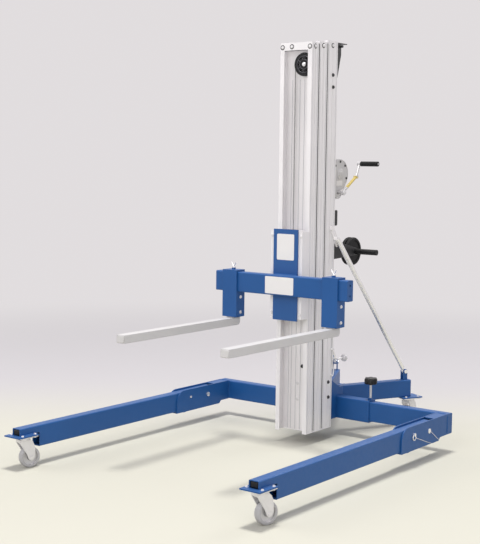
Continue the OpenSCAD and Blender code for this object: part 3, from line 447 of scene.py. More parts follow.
# moulded plastic, rubber and enamelled plate
mouldings = {
    "blackPlastic": {"color": (0.010, 0.010, 0.011), "roughness": 0.42, "drift": 0.3, "grain": 900.0,
                     "height": 0.15, "dust": 0.05, "level": 0.25},
    "blackRubber": {"color": (0.009, 0.009, 0.010), "roughness": 0.6, "drift": 0.35, "grain": 500.0,
                    "height": 0.25, "dust": 0.05, "level": 0.25},
    "sheaveGrey": {"color": (0.075, 0.072, 0.085), "roughness": 0.4, "drift": 0.3, "grain": 700.0,
                   "height": 0.1, "dust": 0.08, "level": 0.4},
    "palePlastic": {"color": (0.74, 0.73, 0.68), "roughness": 0.5, "drift": 0.12, "grain": 700.0,
                    "height": 0.1, "dust": 0.05, "level": 0.4},
    "blankPlate": {"color": (0.76, 0.745, 0.74), "roughness": 0.4, "drift": 0.06, "grain": 300.0,
                   "height": 0.05, "dust": 0.02, "level": 0.4},
}
moulded = {"driftScale": 14.0, "detail": 3.0, "depth": 0.0004}


def makeMoulding(tree, shader, values):
    tone = toneFrom(tree, opaque(values["color"]), values["drift"], moulded["driftScale"])
    dustOver(tree, shader, tone["Color"], values["dust"])
    roughnessFrom(tree, shader, values["roughness"], tone["Roughness Shift"])
    shader.inputs["Specular IOR Level"].default_value = values["level"]
    grainBump(tree, shader, values["grain"], moulded["detail"], values["height"], moulded["depth"])


# two finishes on one CAD node: the inside one lies between two planes across a direction
farBelow = -9.0
crankLean = math.radians(37)
crankWay = Vector((0, math.sin(crankLean), math.cos(crankLean)))
zonedFinishes = {
    "knobAndScrew": {"direction": (0, 0, 1), "from": farBelow, "to": 0.2845, "inside": "zinc",
                     "outside": "black"},
    "carriageBody": {"direction": (0, 1, 0), "from": farBelow, "to": mastY - 0.1749, "inside": "blue",
                     "outside": "alloy"},
    "crankArm": {"direction": crankWay, "from": onMast(0, *crankShaft).dot(crankWay) + 0.031,
                 "to": onMast(0, 257, 1361).dot(crankWay), "inside": "yellow", "outside": "zinc"},
}
zoneTones = {
    "zinc": {"color": (0.58, 0.57, 0.58), "metallic": 0.35, "roughness": 0.44},
    "black": {"color": (0.017, 0.017, 0.018), "metallic": 0.0, "roughness": 0.45},
    "blue": {"color": paints["bluePaint"]["color"], "metallic": 0.0, "roughness": 0.44},
    "alloy": {"color": metals["mastAlloy"]["color"], "metallic": 0.25, "roughness": 0.46},
    "yellow": {"color": (0.66, 0.52, 0.17), "metallic": 0.2, "roughness": 0.42},
}
zoned = {"drift": 0.2, "driftScale": 6.0, "dust": 0.07, "grain": 500.0, "detail": 2.0, "height": 0.1,
         "depth": 0.0005}


def makeZoned(tree, shader, values):
    along = vectorNode(tree, "DOT_PRODUCT", objectPoint(tree), values["direction"])
    mask = mathNode(tree, "MAXIMUM", mathNode(tree, "GREATER_THAN", along, values["to"]),
                    mathNode(tree, "LESS_THAN", along, values["from"]))
    inside, outside = zoneTones[values["inside"]], zoneTones[values["outside"]]
    parted = mixColor(tree, mask, opaque(inside["color"]), opaque(outside["color"]))
    tone = toneFrom(tree, parted, zoned["drift"], zoned["driftScale"])
    dustOver(tree, shader, tone["Color"], zoned["dust"])
    level = {}
    for label in ("metallic", "roughness"):
        span = mathNode(tree, "MULTIPLY", mask, outside[label] - inside[label])
        level[label] = mathNode(tree, "ADD", span, inside[label])
    tree.links.new(level["metallic"], shader.inputs["Metallic"])
    roughnessFrom(tree, shader, level["roughness"], tone["Roughness Shift"])
    grainBump(tree, shader, zoned["grain"], zoned["detail"], zoned["height"], zoned["depth"])


# caster wheels: a grey tread bonded round a paler core, parted by the distance from the axle
casterWheel = {"coreRadius": 0.0365, "tread": (0.40, 0.395, 0.405), "core": (0.62, 0.61, 0.61),
               "hubRadius": 0.0155, "hub": (0.25, 0.25, 0.25), "roughness": 0.46, "drift": 0.25,
               "driftScale": 22.0, "dust": 0.1, "grain": 420.0, "height": 0.15}


def makeWheel(tree, shader, joint, values):
    away = vectorNode(tree, "SUBTRACT", objectPoint(tree), joint["pos_m"])
    radius = vectorNode(tree, "LENGTH", vectorNode(tree, "CROSS_PRODUCT", away, joint["axis"]))
    outer = mathNode(tree, "GREATER_THAN", radius, values["coreRadius"])
    inner = mathNode(tree, "LESS_THAN", radius, values["hubRadius"])
    parted = mixColor(tree, outer, opaque(values["core"]), opaque(values["tread"]))
    parted = mixColor(tree, inner, parted, opaque(values["hub"]))
    tone = toneFrom(tree, parted, values["drift"], values["driftScale"])
    dustOver(tree, shader, tone["Color"], values["dust"])
    roughnessFrom(tree, shader, values["roughness"], tone["Roughness Shift"])
    grainBump(tree, shader, values["grain"], moulded["detail"], values["height"], moulded["depth"])


# a straight rope's lay, drawn as helical strands round the object's own axis, with painted shade in the dark
# grooves between the strands
ropeLay = {"color": (0.42, 0.42, 0.42), "gap": (0.07, 0.07, 0.07), "gapRange": (-1.0, -0.2), "strands": 6,
           "pitch": 0.034, "metallic": 0.7, "roughness": 0.4, "wires": (1500.0, 1500.0, 700.0),
           "lines": 0.5, "height": 0.6, "depth": 0.001}


def makeRopeLay(tree, shader, values):
    split = addNode(tree, "ShaderNodeSeparateXYZ", {}, {"Vector": objectPoint(tree)}).outputs
    angle = mathNode(tree, "ARCTAN2", split["Y"], split["X"])
    climb = mathNode(tree, "MULTIPLY", split["Z"], 2 * math.pi / values["pitch"])
    laid = mathNode(tree, "MULTIPLY", mathNode(tree, "ADD", angle, climb), values["strands"])
    wave = mathNode(tree, "SINE", laid)
    strand = rangeNode(tree, wave, *values["gapRange"])
    fine = useGroup(tree, "drawn", {"Stretch": values["wires"], "Amount": values["lines"]})
    # the dark colour in the grooves between the strands is painted shade
    color = mixColor(tree, strand, opaque(values["gap"]), opaque(values["color"]))
    tree.links.new(mixColor(tree, 1.0, color, fine["Gain"], "MULTIPLY"), shader.inputs["Base Color"])
    shader.inputs["Metallic"].default_value = values["metallic"]
    roughnessFrom(tree, shader, values["roughness"], fine["Roughness Shift"])
    bumpFrom(tree, shader, wave, values["height"], values["depth"])


addStudio(studio)
addLamps(lamps)
finishes = {}
for maker, table in ((makePaint, paints), (makeMetal, metals), (makeMoulding, mouldings),
                     (makeZoned, zonedFinishes), (makeRopeLay, {"ropeLay": ropeLay})):
    for name, values in table.items():
        finishes[name], tree, shader = startMaterial(name)
        maker(tree, shader, values)
slotFinish = {
    "blue_paint": "bluePaint", "mast_aluminium": "mastAlloy", "bright_steel": "brightSteel",
    "zinc_steel": "zincSteel", "wire_rope": "strandSteel", "black_plastic": "blackPlastic",
    "black_rubber": "blackRubber", "dark_steel": "darkPaint", "pale_plastic": "palePlastic",
    "grey_paint": "greyPaint",
}
finishSlot = {finish: slot for slot, finish in slotFinish.items()}
finishSlot.update({"grooveAlloy": "mast_aluminium", "ropeLay": "wire_rope", "sheaveGrey": "black_plastic",
                   "blankPlate": "grey_paint"})
nodeFinish = {"carriage": "carriageBody", "winch_crank": "crankArm", "carriage_pads": "mastAlloy",
              "width_knob_left": "knobAndScrew", "width_knob_right": "knobAndScrew"}
joints = {entry["name"]: entry for entry in frame["record"]["behaviour"]["joints"]}
for end in ("front", "rear"):
    for name, _ in sides:
        node = end + "_wheel_" + name
        finishes[node], tree, shader = startMaterial(end + "Wheel" + name.capitalize())
        makeWheel(tree, shader, joints[end + "_roll_" + name], casterWheel)
        nodeFinish[node] = node
for entry in frame["record"]["subparts"]:
    mesh = nodes[entry["node"]].data
    mesh.materials.clear()
    mesh.materials.append(finishes[nodeFinish.get(entry["node"]) or slotFinish[entry["material_slot"]]])
print("finishes:", len(finishes))


# mesh helpers: each adds to a bmesh, and endPiece makes the object of it
def circle(count):
    return [(math.cos(2 * math.pi * k / count), math.sin(2 * math.pi * k / count)) for k in range(count)]


def closeRings(bm, rings):
    # a skin over a row of rings, closed at both ends
    count = len(rings[0])
    for low, high in zip(rings, rings[1:]):
        for k in range(count):
            n = (k + 1) % count
            bm.faces.new((low[k], low[n], high[n], high[k]))
    bm.faces.new(list(reversed(rings[0])))
    bm.faces.new(rings[-1])


def addLathe(bm, place, axis, profile, segments=20):
    # profile: (radius, height) pairs along the axis
    turn = Matrix.Translation(place) @ Vector(axis).to_track_quat("Z", "Y").to_matrix().to_4x4()
    closeRings(bm, [[bm.verts.new(turn @ Vector((radius * c, radius * s, height)))
                     for c, s in circle(segments)] for radius, height in profile])


# a washer let in by a hair, then a hex head with a turned crown, in shares of the bolt's size
boltShape = {"letIn": (1.05, -0.0005), "washer": ((1.12, 0.0), (1.12, 0.14), (1.02, 0.2)),
             "head": ((0.86, 0.15), (0.92, 0.2), (0.92, 0.62), (0.78, 0.75)), "headSides": 6}


def addBolt(bm, place, axis, size):
    washer, head = ([(radius * size, height * size) for radius, height in boltShape[part]]
                    for part in ("washer", "head"))
    radius, depth = boltShape["letIn"]
    addLathe(bm, place, axis, [(radius * size, depth)] + washer)
    addLathe(bm, place, axis, head, boltShape["headSides"])


plateEdge = {"cornerSteps": 6, "broken": 0.4}  # the broken edge as a share of the thickness


def addRoundPlate(bm, place, axis, values):
    # a thin upright plate with round corners and a broken edge, its back on the place
    axis, up = Vector(axis).normalized(), Vector((0, 0, 1))
    side = up.cross(axis)
    width, height, thick, corner = (values[k] for k in ("width", "height", "thick", "corner"))
    outline = []
    for quarter, (sx, sy) in enumerate(((1, 1), (-1, 1), (-1, -1), (1, -1))):
        for k in range(plateEdge["cornerSteps"] + 1):
            a = math.pi / 2 * (quarter + k / plateEdge["cornerSteps"])
            outline.append((sx * (width / 2 - corner) + corner * math.cos(a),
                            sy * (height / 2 - corner) + corner * math.sin(a)))
    broken = thick * plateEdge["broken"]
    rings = []
    for shrink, rise in ((0.0, 0.0), (0.0, thick - broken), (broken, thick)):
        fx, fy = 1 - shrink / (width / 2), 1 - shrink / (height / 2)
        rings.append([bm.verts.new(Vector(place) + side * x * fx + up * y * fy + axis * rise)
                      for x, y in outline])
    closeRings(bm, rings)


def pathFrames(path):
    last = len(path) - 1
    ways = [(path[min(k + 1, last)] - path[max(k - 1, 0)]).normalized() for k in range(last + 1)]
    side = ways[0].orthogonal().normalized()
    frames = []
    for way in ways:
        side = (side - way * side.dot(way)).normalized()
        frames.append((side, way.cross(side)))
    return frames


def addTube(bm, path, radius, count):
    # radius: one for the whole path, or a list with one for each point
    radii = radius if isinstance(radius, list) else [radius] * len(path)
    closeRings(bm, [[bm.verts.new(point + r * (side * c + up * s)) for c, s in circle(count)]
                    for point, (side, up), r in zip(path, pathFrames(path), radii)])


def resample(path, step):
    out, spare = [path[0].copy()], 0.0
    for a, b in zip(path, path[1:]):
        length = (b - a).length
        reach = step - spare
        while reach <= length:
            out.append(a.lerp(b, reach / length))
            reach += step
        spare = length - (reach - step)
    out.append(path[-1].copy())
    return out


def addBar(bm, low, high, broken):
    # an upright square bar with broken edges
    (x0, y0, z0), (x1, y1, z1) = low, high
    outline = [(x0 + broken, y0), (x1 - broken, y0), (x1, y0 + broken), (x1, y1 - broken),
               (x1 - broken, y1), (x0 + broken, y1), (x0, y1 - broken), (x0, y0 + broken)]
    closeRings(bm, [[bm.verts.new(onMast(x, y, z)) for x, y in outline] for z in (z0, z1)])


edgeSmooth, roundSmooth = 35, 60  # faces that meet at less than this look round, in degrees


def endPiece(name, bm, finish, smooth=edgeSmooth):
    bmesh.ops.recalc_face_normals(bm, faces=bm.faces[:])
    obj = linkMesh(name, bm)
    for face in obj.data.polygons:
        face.use_smooth = True
    obj.data.set_sharp_from_angle(angle=math.radians(smooth))
    obj.data.materials.append(finishes[finish])
    return obj


# ropes: twisted strands where they keep their shape, a two-ring tube with a drawn lay where they stretch
ropeStrands = {"radius": 0.0025, "strands": 6, "pitch": 0.034, "steps": 8, "sides": 5, "laidAt": 0.65,
               "strandShare": 0.35, "coreShare": 0.4, "plainSides": 16}
liftRun = {"leaves": 36.4, "sheave": (125, 1990), "wrap": 43.8, "arc": 24}
windingRun = {"radius": 30.8, "step": 6.2, "turns": 9, "rings": 24}
stretchRopes = {
    "carriageRope": {"node": "carriage_rope", "top": "front_column", "foot": "carriage"},
    "columnRope": {"node": "column_rope", "top": "middle_column", "foot": "front_column"},
    "mastRope": {"node": "mast_rope", "top": "base", "foot": "middle_column"},
}


def addStrands(bm, path, rope):
    # strands laid round the path, each a slim tube of its own, and a core
    points = resample(path, rope["pitch"] / rope["steps"])
    frames = pathFrames(points)
    offset, radius = rope["radius"] * rope["laidAt"], rope["radius"] * rope["strandShare"]
    for strand in range(rope["strands"]):
        laid = []
        for k, (point, (side, up)) in enumerate(zip(points, frames)):
            a = 2 * math.pi * (strand / rope["strands"] + k / rope["steps"])
            laid.append(point + offset * (side * math.cos(a) + up * math.sin(a)))
        addTube(bm, laid, radius, rope["sides"])
    addTube(bm, points, rope["radius"] * rope["coreShare"], rope["sides"])


def buildLaidRope(name, path, node, body):
    bm = bmesh.new()
    addStrands(bm, path, ropeStrands)
    obj = endPiece(name, bm, "strandSteel", roundSmooth)
    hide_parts(node)
    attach(obj, body)


def liftPath(run):
    path = [onMast(0, drumShaft[0] - run["leaves"], drumShaft[1])]
    for k in range(run["arc"] + 1):
        a = math.pi * k / run["arc"]
        path.append(onMast(0, run["sheave"][0] + run["wrap"] * math.cos(a),
                           run["sheave"][1] + run["wrap"] * math.sin(a)))
    return path


def windingPath(run):
    path = []
    for k in range(run["turns"] * run["rings"] + 1):
        a = 2 * math.pi * k / run["rings"]
        path.append(onMast(run["step"] * (k / run["rings"] - run["turns"] / 2),
                           drumShaft[0] + run["radius"] * math.cos(a),
                           drumShaft[1] + run["radius"] * math.sin(a)))
    return path


def buildStretchRope(name, values):
    low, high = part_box(values["node"])
    axis = (low + high) / 2
    bm = bmesh.new()
    addTube(bm, [Vector((0, 0, 0)), Vector((0, 0, low.z - high.z))], ropeStrands["radius"],
            ropeStrands["plainSides"])
    obj = endPiece(name, bm, "ropeLay", roundSmooth)
    obj.location = (axis.x, axis.y, high.z)
    bpy.context.view_layer.update()
    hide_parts(values["node"])
    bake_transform(obj)


buildLaidRope("liftRope", liftPath(liftRun), "lift_rope", "base")
buildLaidRope("drumWinding", windingPath(windingRun), "rope_winding", "drum")
for name, values in stretchRopes.items():
    buildStretchRope(name, values)
print("ropes:", 2 + len(stretchRopes))


# bolts, each set on the body that carries it: the place, then the way it looks
def onSides(v, z):
    return [((side * mastSide, v, z), (side, 0, 0)) for _, side in sides]


def inFront(x, v, z):
    return ((x, v, z), (0, -1, 0))


topPins = {
    "rear": {"body": "base", "pins": onSides(71, 2020)},
    "middle": {"body": "middle_column", "pins": onSides(-14, 2012)},
    "front": {"body": "front_column", "pins": onSides(-85, 2004) + [
        inFront(-82, lipFace, 2002), inFront(82, lipFace, 2002), inFront(-26, lipFace, 2004)]},
}
boltSets = {
    "mastSideBolts": {"body": "base", "size": 0.0085, "finish": "darkPaint", "bolts": [
        ((side * mastSide, v, z), (side, 0, 0)) for _, side in sides
        for v, z in ((75, 1873), (78, 1813), (82, 302), (84, 223))]},
    **{end + "TopPins": {"body": values["body"], "size": 0.0075, "bolts": values["pins"]}
       for end, values in topPins.items()},
    "webBolts": {"body": "front_column", "size": 0.0075, "bolts": [
        inFront(0, webFace, z) for z in (305, 222)]},
    # a dark-painted bolt where the web shows a dark hole: its dark colour paints the hole's shade
    "slotBolt": {"body": "front_column", "size": 0.0085, "finish": "darkPaint", "bolts": [
        inFront(28, webFace, 396)]},
    "rollerBolts": {"body": "carriage", "size": 0.0075, "bolts": [
        inFront(side * 84.5, -175, z) for _, side in sides for z in (676, 1066)]},
    "coverScrews": {"body": "base", "size": 0.0055, "finish": "darkPaint", "bolts": [
        ((61, drumShaft[0] + 63 * math.cos(a), drumShaft[1] + 63 * math.sin(a)), (1, 0, 0))
        for a in (-0.35, 0.75, 1.57, 2.4, 3.4)]},
    "crankNut": {"body": "crank", "size": 0.0115, "bolts": [((98, *crankShaft), (1, 0, 0))]},
    "winchBolts": {"body": "base", "size": 0.0065, "bolts": [
        ((x, 122, z), (0, 1, 0)) for x in (-24, 24) for z in (1252, 1440)]},
    "mountBolts": {"body": "base", "size": 0.0085, "bolts": [
        ((side * 70, 124, z), (0, 1, 0)) for _, side in sides for z in (240, 282)]},
}
for name, side in sides:
    boltSets["bracketBolts" + name.capitalize()] = {"body": "fork_" + name, "size": 0.0075, "bolts": [
        ((side * forkX + face * 45, -208.5, z), (face, 0, 0)) for face in (-1, 1) for z in (742, 664)]}
    boltSets["casterBolts" + name.capitalize()] = {"body": "leg_" + name, "size": 0.0065, "bolts": [
        ((side * legX + x, legFront + y, z), (0, 0, up)) for x in (-39, 39) for y in (-38, 38)
        for z, up in ((158, 1), (147, -1))]}
rearPlate = {"root": (40, 267), "reach": 451, "splay": math.radians(26), "top": 158, "x": (-37, 37),
             "y": (-38, 38)}


def rearPlateBolts(values):
    # the rear plates lie square to the splayed arms
    out = []
    for _, side in sides:
        ahead = Vector((side * math.sin(values["splay"]), math.cos(values["splay"])))
        across = Vector((ahead.y, -ahead.x))
        foot = Vector((side * values["root"][0], values["root"][1])) + ahead * values["reach"]
        for x in values["x"]:
            for y in values["y"]:
                spot = foot + across * x + ahead * y
                out.append(((spot.x, spot.y, values["top"]), (0, 0, 1)))
    return out


boltSets["rearPlateBolts"] = {"body": "base", "size": 0.0065, "bolts": rearPlateBolts(rearPlate)}
for name, values in boltSets.items():
    bm = bmesh.new()
    for place, axis in values["bolts"]:
        addBolt(bm, onMast(*place), axis, values["size"])
    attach(endPiece(name, bm, values.get("finish", "zincSteel")), values["body"])
print("bolt sets:", len(boltSets))

# dark rings round the pins at the columns' tops
pinRing = {"segments": 28, "profile": [
    (0.0125, -0.0004), (0.0125, 0.0004), (0.0118, 0.0009), (0.0060, 0.0009)]}
for end, values in topPins.items():
    bm = bmesh.new()
    for place, axis in values["pins"]:
        addLathe(bm, onMast(*place), axis, pinRing["profile"], pinRing["segments"])
    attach(endPiece(end + "PinRings", bm, "blackRubber"), values["body"])

# the front sheave's hub cap, raised rings and spokes
sheaveFace = {"place": (28, -87.5, 1918), "cap": [(0.0105, -0.0005), (0.0105, 0.0012), (0.0095, 0.0024),
                                                  (0.0060, 0.0024), (0.0055, 0.0046), (0.0030, 0.0052)],
              "capSegments": 28, "rings": (0.024, 0.041), "bead": 0.0014, "beadSides": 8, "spokes": 6,
              "segments": 40, "step": 0.004}


def buildSheaveFace(values):
    centre = onMast(*values["place"])
    bm = bmesh.new()
    addLathe(bm, centre, (0, -1, 0), values["cap"], values["capSegments"])
    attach(endPiece("sheaveCap", bm, "zincSteel"), "front_sheave")
    bm = bmesh.new()
    for radius in values["rings"]:
        path = [centre + Vector((radius * c, 0, radius * s)) for c, s in circle(values["segments"])]
        addTube(bm, path + [path[0].copy()], values["bead"], values["beadSides"])
    inner, outer = values["rings"]
    for k in range(values["spokes"]):
        a = 2 * math.pi * (k + 0.5) / values["spokes"]
        way = Vector((math.cos(a), 0, math.sin(a)))
        path = resample([centre + way * inner, centre + way * outer], values["step"])
        addTube(bm, path, values["bead"], values["beadSides"])
    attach(endPiece("sheaveRings", bm, "sheaveGrey", roundSmooth), "front_sheave")


buildSheaveFace(sheaveFace)

# a dark rubber strip along the bridge's lower edge: painted shadow under the bridge's edge
bridgeSeal = {"from": (-70, -114.5, 1984.6), "to": (70, -114.5, 1984.6), "radius": 0.0019, "step": 0.01,
              "sides": 10}


def buildBridgeShadowStrip(values):
    bm = bmesh.new()
    path = resample([onMast(*values["from"]), onMast(*values["to"])], values["step"])
    addTube(bm, path, values["radius"], values["sides"])
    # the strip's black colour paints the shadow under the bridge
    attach(endPiece("bridgeSeal", bm, "blackRubber", roundSmooth), "front_column")


buildBridgeShadowStrip(bridgeSeal)

# dark lines along the columns: thin raised strips in a darker alloy that paint the shade of the extrusion's
# grooves, on the front web and down the columns' sides
grooveShadeLines = {
    "frontBeads": {"body": "front_column", "top": 2018, "web": (-57, -40, -12, 16, 44), "side": (-107, -64)},
    "middleBeads": {"body": "middle_column", "top": 2026, "web": (), "side": (-40, 12)},
    "rearBeads": {"body": "base", "top": 2036, "web": (), "side": (36, 106)},
}
bead = {"foot": 66, "webTop": 1846, "webRadius": 0.0018, "sideRadius": 0.0014, "sides": 10, "smooth": 50}
for name, values in grooveShadeLines.items():
    runs = [(x, webFace, bead["webTop"], bead["webRadius"]) for x in values["web"]]
    runs += [(side * mastSide, v, values["top"], bead["sideRadius"]) for _, side in sides
             for v in values["side"]]
    bm = bmesh.new()
    for x, v, top, radius in runs:
        addTube(bm, [onMast(x, v, bead["foot"]), onMast(x, v, top)], radius, bead["sides"])
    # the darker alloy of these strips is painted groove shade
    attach(endPiece(name, bm, "grooveAlloy", bead["smooth"]), values["body"])

# dark rubber strips over the two gaps between the columns, whose black colour is painted shade of the gaps,
# each clear of the column that slides behind it
gapShadeStrips = {
    "middleWipers": {"body": "middle_column", "foot": (-50.0, -49.2), "lip": (-54.7, -49.2), "z": (68, 2018)},
    "rearWipers": {"body": "base", "foot": (26.0, 26.8), "lip": (21.3, 26.8), "z": (68, 2026)},
}
gapShadeReach = {"foot": (94.6, 95.9), "lip": (95.25, 95.9)}
gapShadeBroken = 0.2
for name, values in gapShadeStrips.items():
    bm = bmesh.new()
    for _, side in sides:
        for part, reach in gapShadeReach.items():
            corners = zip(sorted(side * x for x in reach), values[part], values["z"])
            addBar(bm, *corners, gapShadeBroken)
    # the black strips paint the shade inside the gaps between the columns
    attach(endPiece(name, bm, "blackRubber"), values["body"])
print("mast trim:", len(topPins) + len(grooveShadeLines) + len(gapShadeStrips))

# caster cheeks: pressed plates outside the fork's legs, drawn along the trail and up
cheek = {"in": 24.4, "thick": 2.0, "broken": 0.7, "middle": (14, 88), "outline": [
    (-25, 134), (26, 134), (37, 125), (45, 108), (49, 86), (49, 62), (46, 48), (41, 40), (33, 35.5), (25, 36),
    (18, 41), (13, 51), (7, 67), (-3, 88), (-15, 106), (-25, 120)]}
casterPlaces = {
    "frontLeft": {"body": "front_caster_left", "swivel": (-legX, legFront), "turn": 18},
    "frontRight": {"body": "front_caster_right", "swivel": (legX, legFront), "turn": 18},
    "rearLeft": {"body": "rear_caster_left", "swivel": (-237.7, 672.35), "turn": 0},
    "rearRight": {"body": "rear_caster_right", "swivel": (237.7, 672.35), "turn": 0},
}


def buildCheeks(name, values):
    turn = math.radians(values["turn"])
    trail = Vector((math.sin(turn), math.cos(turn), 0))
    axle = Vector((math.cos(turn), -math.sin(turn), 0))
    swivel = Vector((*values["swivel"], 0))
    bm = bmesh.new()
    for face in (-1, 1):
        rings = []
        for out, inset in ((0, 0), (cheek["thick"] - cheek["broken"], 0), (cheek["thick"], cheek["broken"])):
            ring = []
            for s, z in cheek["outline"]:
                inward = (Vector(cheek["middle"]) - Vector((s, z))).normalized() * inset
                spot = swivel + trail * (s + inward.x) + axle * face * (cheek["in"] + out)
                ring.append(bm.verts.new(onMast(spot.x, spot.y, z + inward.y)))
            rings.append(ring)
        closeRings(bm, rings)
    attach(endPiece(name + "Cheeks", bm, "zincSteel"), values["body"])


for name, values in casterPlaces.items():
    buildCheeks(name, values)
print("caster cheeks:", len(casterPlaces))

# smooth plated sleeves drawn over the two braces
braceSleeve = {"top": (103, 85, 1095), "foot": (224.6, 644.9, 298), "topLap": 64, "footGap": 26,
               "radius": 0.0129, "step": 0.012, "sides": 28}


def buildBraceSleeve(name, side, values):
    top, foot = (onMast(side * x, v, z) for x, v, z in (values["top"], values["foot"]))
    way = (foot - top).normalized()
    ends = [top + way * values["topLap"] / 1000, foot - way * values["footGap"] / 1000]
    bm = bmesh.new()
    addTube(bm, resample(ends, values["step"]), values["radius"], values["sides"])
    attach(endPiece("braceSleeve" + name.capitalize(), bm, "brightSteel", roundSmooth), "base")


for name, side in sides:
    buildBraceSleeve(name, side, braceSleeve)
print("brace sleeves:", len(sides))

# winch cover: a rolled rim round the drum and crank ends, and a turned boss over the drum's shaft
winchCover = {"drumRadius": 72.5, "crankRadius": 30.5, "drumSteps": 40, "crankSteps": 24, "face": 61,
              "bead": 0.0021, "beadSides": 8, "bossSegments": 32, "smooth": 40,
              "boss": [(0.0300, -0.0005), (0.0300, 0.0012), (0.0285, 0.0024), (0.0165, 0.0024),
                       (0.0160, 0.0050), (0.0145, 0.0062), (0.0050, 0.0062)]}


def arcPath(x, centre, radius, start, sweep, steps):
    angles = [start + sweep * k / steps for k in range(steps + 1)]
    return [onMast(x, centre[0] + radius * math.cos(a), centre[1] + radius * math.sin(a)) for a in angles]


def buildCover(values):
    dv, dz = (a - b for a, b in zip(drumShaft, crankShaft))
    lean = math.atan2(dz, dv)
    spread = math.acos((values["drumRadius"] - values["crankRadius"]) / math.hypot(dv, dz))
    half = math.pi - spread
    x = values["face"]
    path = arcPath(x, drumShaft, values["drumRadius"], lean - half, 2 * half, values["drumSteps"])
    path += arcPath(x, crankShaft, values["crankRadius"], lean + half, 2 * spread, values["crankSteps"])
    bm = bmesh.new()
    addTube(bm, path + [path[0].copy()], values["bead"], values["beadSides"])
    addLathe(bm, onMast(x, *drumShaft), (1, 0, 0), values["boss"], values["bossSegments"])
    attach(endPiece("coverTrim", bm, "greyPaint", values["smooth"]), "base")


buildCover(winchCover)

# stiff wires beside the pins of the leg brackets, hooked over the bracket's lower edge
pinWires = {"radius": 0.0012, "sides": 8, "runs": [
    [(720.2, -113, 140), (722.0, -104, 137), (722.2, 20, 92), (721.6, 47, 84), (719.9, 52, 83)],
    [(720.2, 34, 144), (722.0, 41, 140), (722.2, 100, 100), (721.6, 121, 88), (719.9, 126, 87)]]}
for name, side in sides:
    bm = bmesh.new()
    for run in pinWires["runs"]:
        addTube(bm, [onMast(side * x, v, z) for x, v, z in run], pinWires["radius"], pinWires["sides"])
    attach(endPiece("pinWires" + name.capitalize(), bm, "brightSteel", roundSmooth),
            "outrigger_" + name)

# hold-down hook on the rear column's side
holdDown = {
    "rod": [(98.5, 112, 548), (98.5, 114, 470), (98.5, 112, 404), (98.5, 118, 382), (98.5, 126, 356),
            (98.5, 122, 334), (98.5, 110, 328), (98.5, 102, 338)],
    "arm": [(98.5, 114, 424), (100, 160, 414), (101, 216, 412)],
    "radius": {"rod": 0.0036, "arm": 0.0042}, "step": 0.006, "sides": 10, "smooth": 45,
    "knob": [(0.006, -0.002), (0.0165, 0.0), (0.0190, 0.004), (0.0190, 0.010), (0.0160, 0.014),
             (0.004, 0.0155)],
    "knobSegments": 24,
    "clips": [(95, 112, 540), (95, 113, 470)],
    "clip": [(0.0090, -0.0005), (0.0090, 0.0062), (0.0075, 0.0078), (0.0020, 0.0080)],
}


def buildHoldDown(values):
    bm = bmesh.new()
    for part, radius in values["radius"].items():
        path = resample([onMast(*point) for point in values[part]], values["step"])
        addTube(bm, path, radius, values["sides"])
    addLathe(bm, onMast(*values["arm"][-1]), (0, 1, 0), values["knob"], values["knobSegments"])
    for place in values["clips"]:
        addLathe(bm, onMast(*place), (1, 0, 0), values["clip"])
    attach(endPiece("holdDown", bm, "zincSteel", values["smooth"]), "base")


buildHoldDown(holdDown)

# the dark catch behind the mast, and bare plates on the winch cover, the carriage and the load bar
plates = {
    "rearCatch": {"body": "base", "place": (84, 134.5, 1150), "axis": (1, 0, 0), "width": 0.038,
                  "height": 0.080, "thick": 0.0045, "corner": 0.007, "finish": "darkPaint"},
    "winchPlate": {"body": "base", "place": (61, 205, 1327), "axis": (1, 0, 0), "width": 0.058,
                   "height": 0.026, "thick": 0.0008, "corner": 0.004},
    "carriagePlate": {"body": "carriage", "place": (0, -183, 1011), "axis": (0, -1, 0), "width": 0.104,
                      "height": 0.130, "thick": 0.0008, "corner": 0.006},
    "barPlate": {"body": "carriage", "place": (0, -234, 821), "axis": (0, -1, 0), "width": 0.172,
                 "height": 0.086, "thick": 0.0008, "corner": 0.005},
}
for name, values in plates.items():
    bm = bmesh.new()
    addRoundPlate(bm, onMast(*values["place"]), values["axis"], values)
    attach(endPiece(name, bm, values.get("finish", "blankPlate")), values["body"])
print("winch trim, pin wires and hold-down hook built; plates:", len(plates))

# weld beads along the seams, painted over
weldBead = {"radius": 0.0032, "step": 0.0022, "ripple": 2.6, "lump": 0.14, "end": 0.5, "least": 4, "sides": 8}
weldSeams = {"base": [], "carriage": [((-70, -183, z), (70, -183, z)) for z in (873, 771)]}
for name, side in sides:
    weldSeams["outrigger_" + name] = [
        ((side * 654.5, 209.5, 106), (side * 654.5, 209.5, 192)),
        ((side * 664, 209.5, 199), (side * 709, 209.5, 199)),
        ((side * 718.5, 209.5, 106), (side * 718.5, 209.5, 192))]
    weldSeams["leg_" + name] = [((side * x, -1343, 158), (side * x, -1254, 158)) for x in (661, 712)]
    weldSeams["base"] += [((side * 67.8, 267, 160), (side * 67.8, 267, 200)),
                          ((side * 14, 267, 158), (side * 66, 267, 158))]


def addWeld(bm, start, end, values):
    # a lumpy bead half sunk in the corner that it closes
    count = max(values["least"], int((end - start).length / values["step"]))
    path = [start.lerp(end, k / count) for k in range(count + 1)]
    waves = [math.cos(k * 2 * math.pi / values["ripple"]) for k in range(count + 1)]
    radii = [values["radius"] * (1 - values["lump"] + values["lump"] * wave) for wave in waves]
    radii[0] = radii[-1] = values["radius"] * values["end"]
    addTube(bm, path, radii, values["sides"])


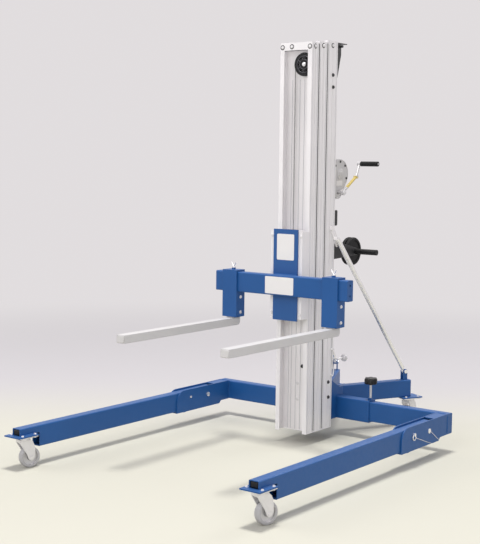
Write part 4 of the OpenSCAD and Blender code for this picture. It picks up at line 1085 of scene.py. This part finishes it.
for body, seams in weldSeams.items():
    bm = bmesh.new()
    for start, end in seams:
        addWeld(bm, onMast(*start), onMast(*end), weldBead)
    name = "welds" + "".join(part.capitalize() for part in body.split("_"))
    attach(endPiece(name, bm, "bluePaint", roundSmooth), body)
print("weld seams:", sum(len(seams) for seams in weldSeams.values()))

# lobed grips pressed over the width knobs; a level is its height, radius and depth of the lobes
knobGrip = {"place": (260, 235), "lobes": 8, "points": 96, "smooth": 50, "levels": [
    (291.0, 30.5, 0.0), (293.5, 33.2, 1.5), (297.0, 34.0, 2.2), (313.0, 34.0, 2.2), (317.5, 32.6, 1.6),
    (320.5, 29.5, 0.8), (322.2, 24.0, 0.0)]}


def buildKnobGrip(name, side, values):
    x, v = values["place"]
    bm = bmesh.new()
    rings = []
    for z, radius, depth in values["levels"]:
        ring = []
        for k in range(values["points"]):
            a = 2 * math.pi * k / values["points"]
            r = radius - depth + depth * math.cos(values["lobes"] * a)
            ring.append(bm.verts.new(onMast(side * x + r * math.cos(a), v + r * math.sin(a), z)))
        rings.append(ring)
    closeRings(bm, rings)
    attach(endPiece("knobGrip" + name.capitalize(), bm, "blackPlastic", values["smooth"]),
            "width_knob_" + name)


for name, side in sides:
    buildKnobGrip(name, side, knobGrip)
print("knob grips:", len(sides))

# rounded caps on the fork tips, and plugs in the open front ends of the legs
tineCap = {"place": (forkX, -1052, 615), "width": 0.046, "height": 0.034, "thick": 0.0030, "corner": 0.010,
           "finish": "greyPaint", "carrier": "fork_"}
legPlug = {"place": (legX, -1330, 173.2), "width": 0.0425, "height": 0.0295, "thick": 0.016, "corner": 0.003,
           "finish": "blackPlastic", "carrier": "leg_"}
for stem, values in (("tineCap", tineCap), ("legPlug", legPlug)):
    for name, side in sides:
        x, v, z = values["place"]
        bm = bmesh.new()
        addRoundPlate(bm, onMast(side * x, v, z), (0, -1, 0), values)
        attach(endPiece(stem + name.capitalize(), bm, values["finish"]), values["carrier"] + name)
print("tine caps and leg plugs:", 2 * len(sides))
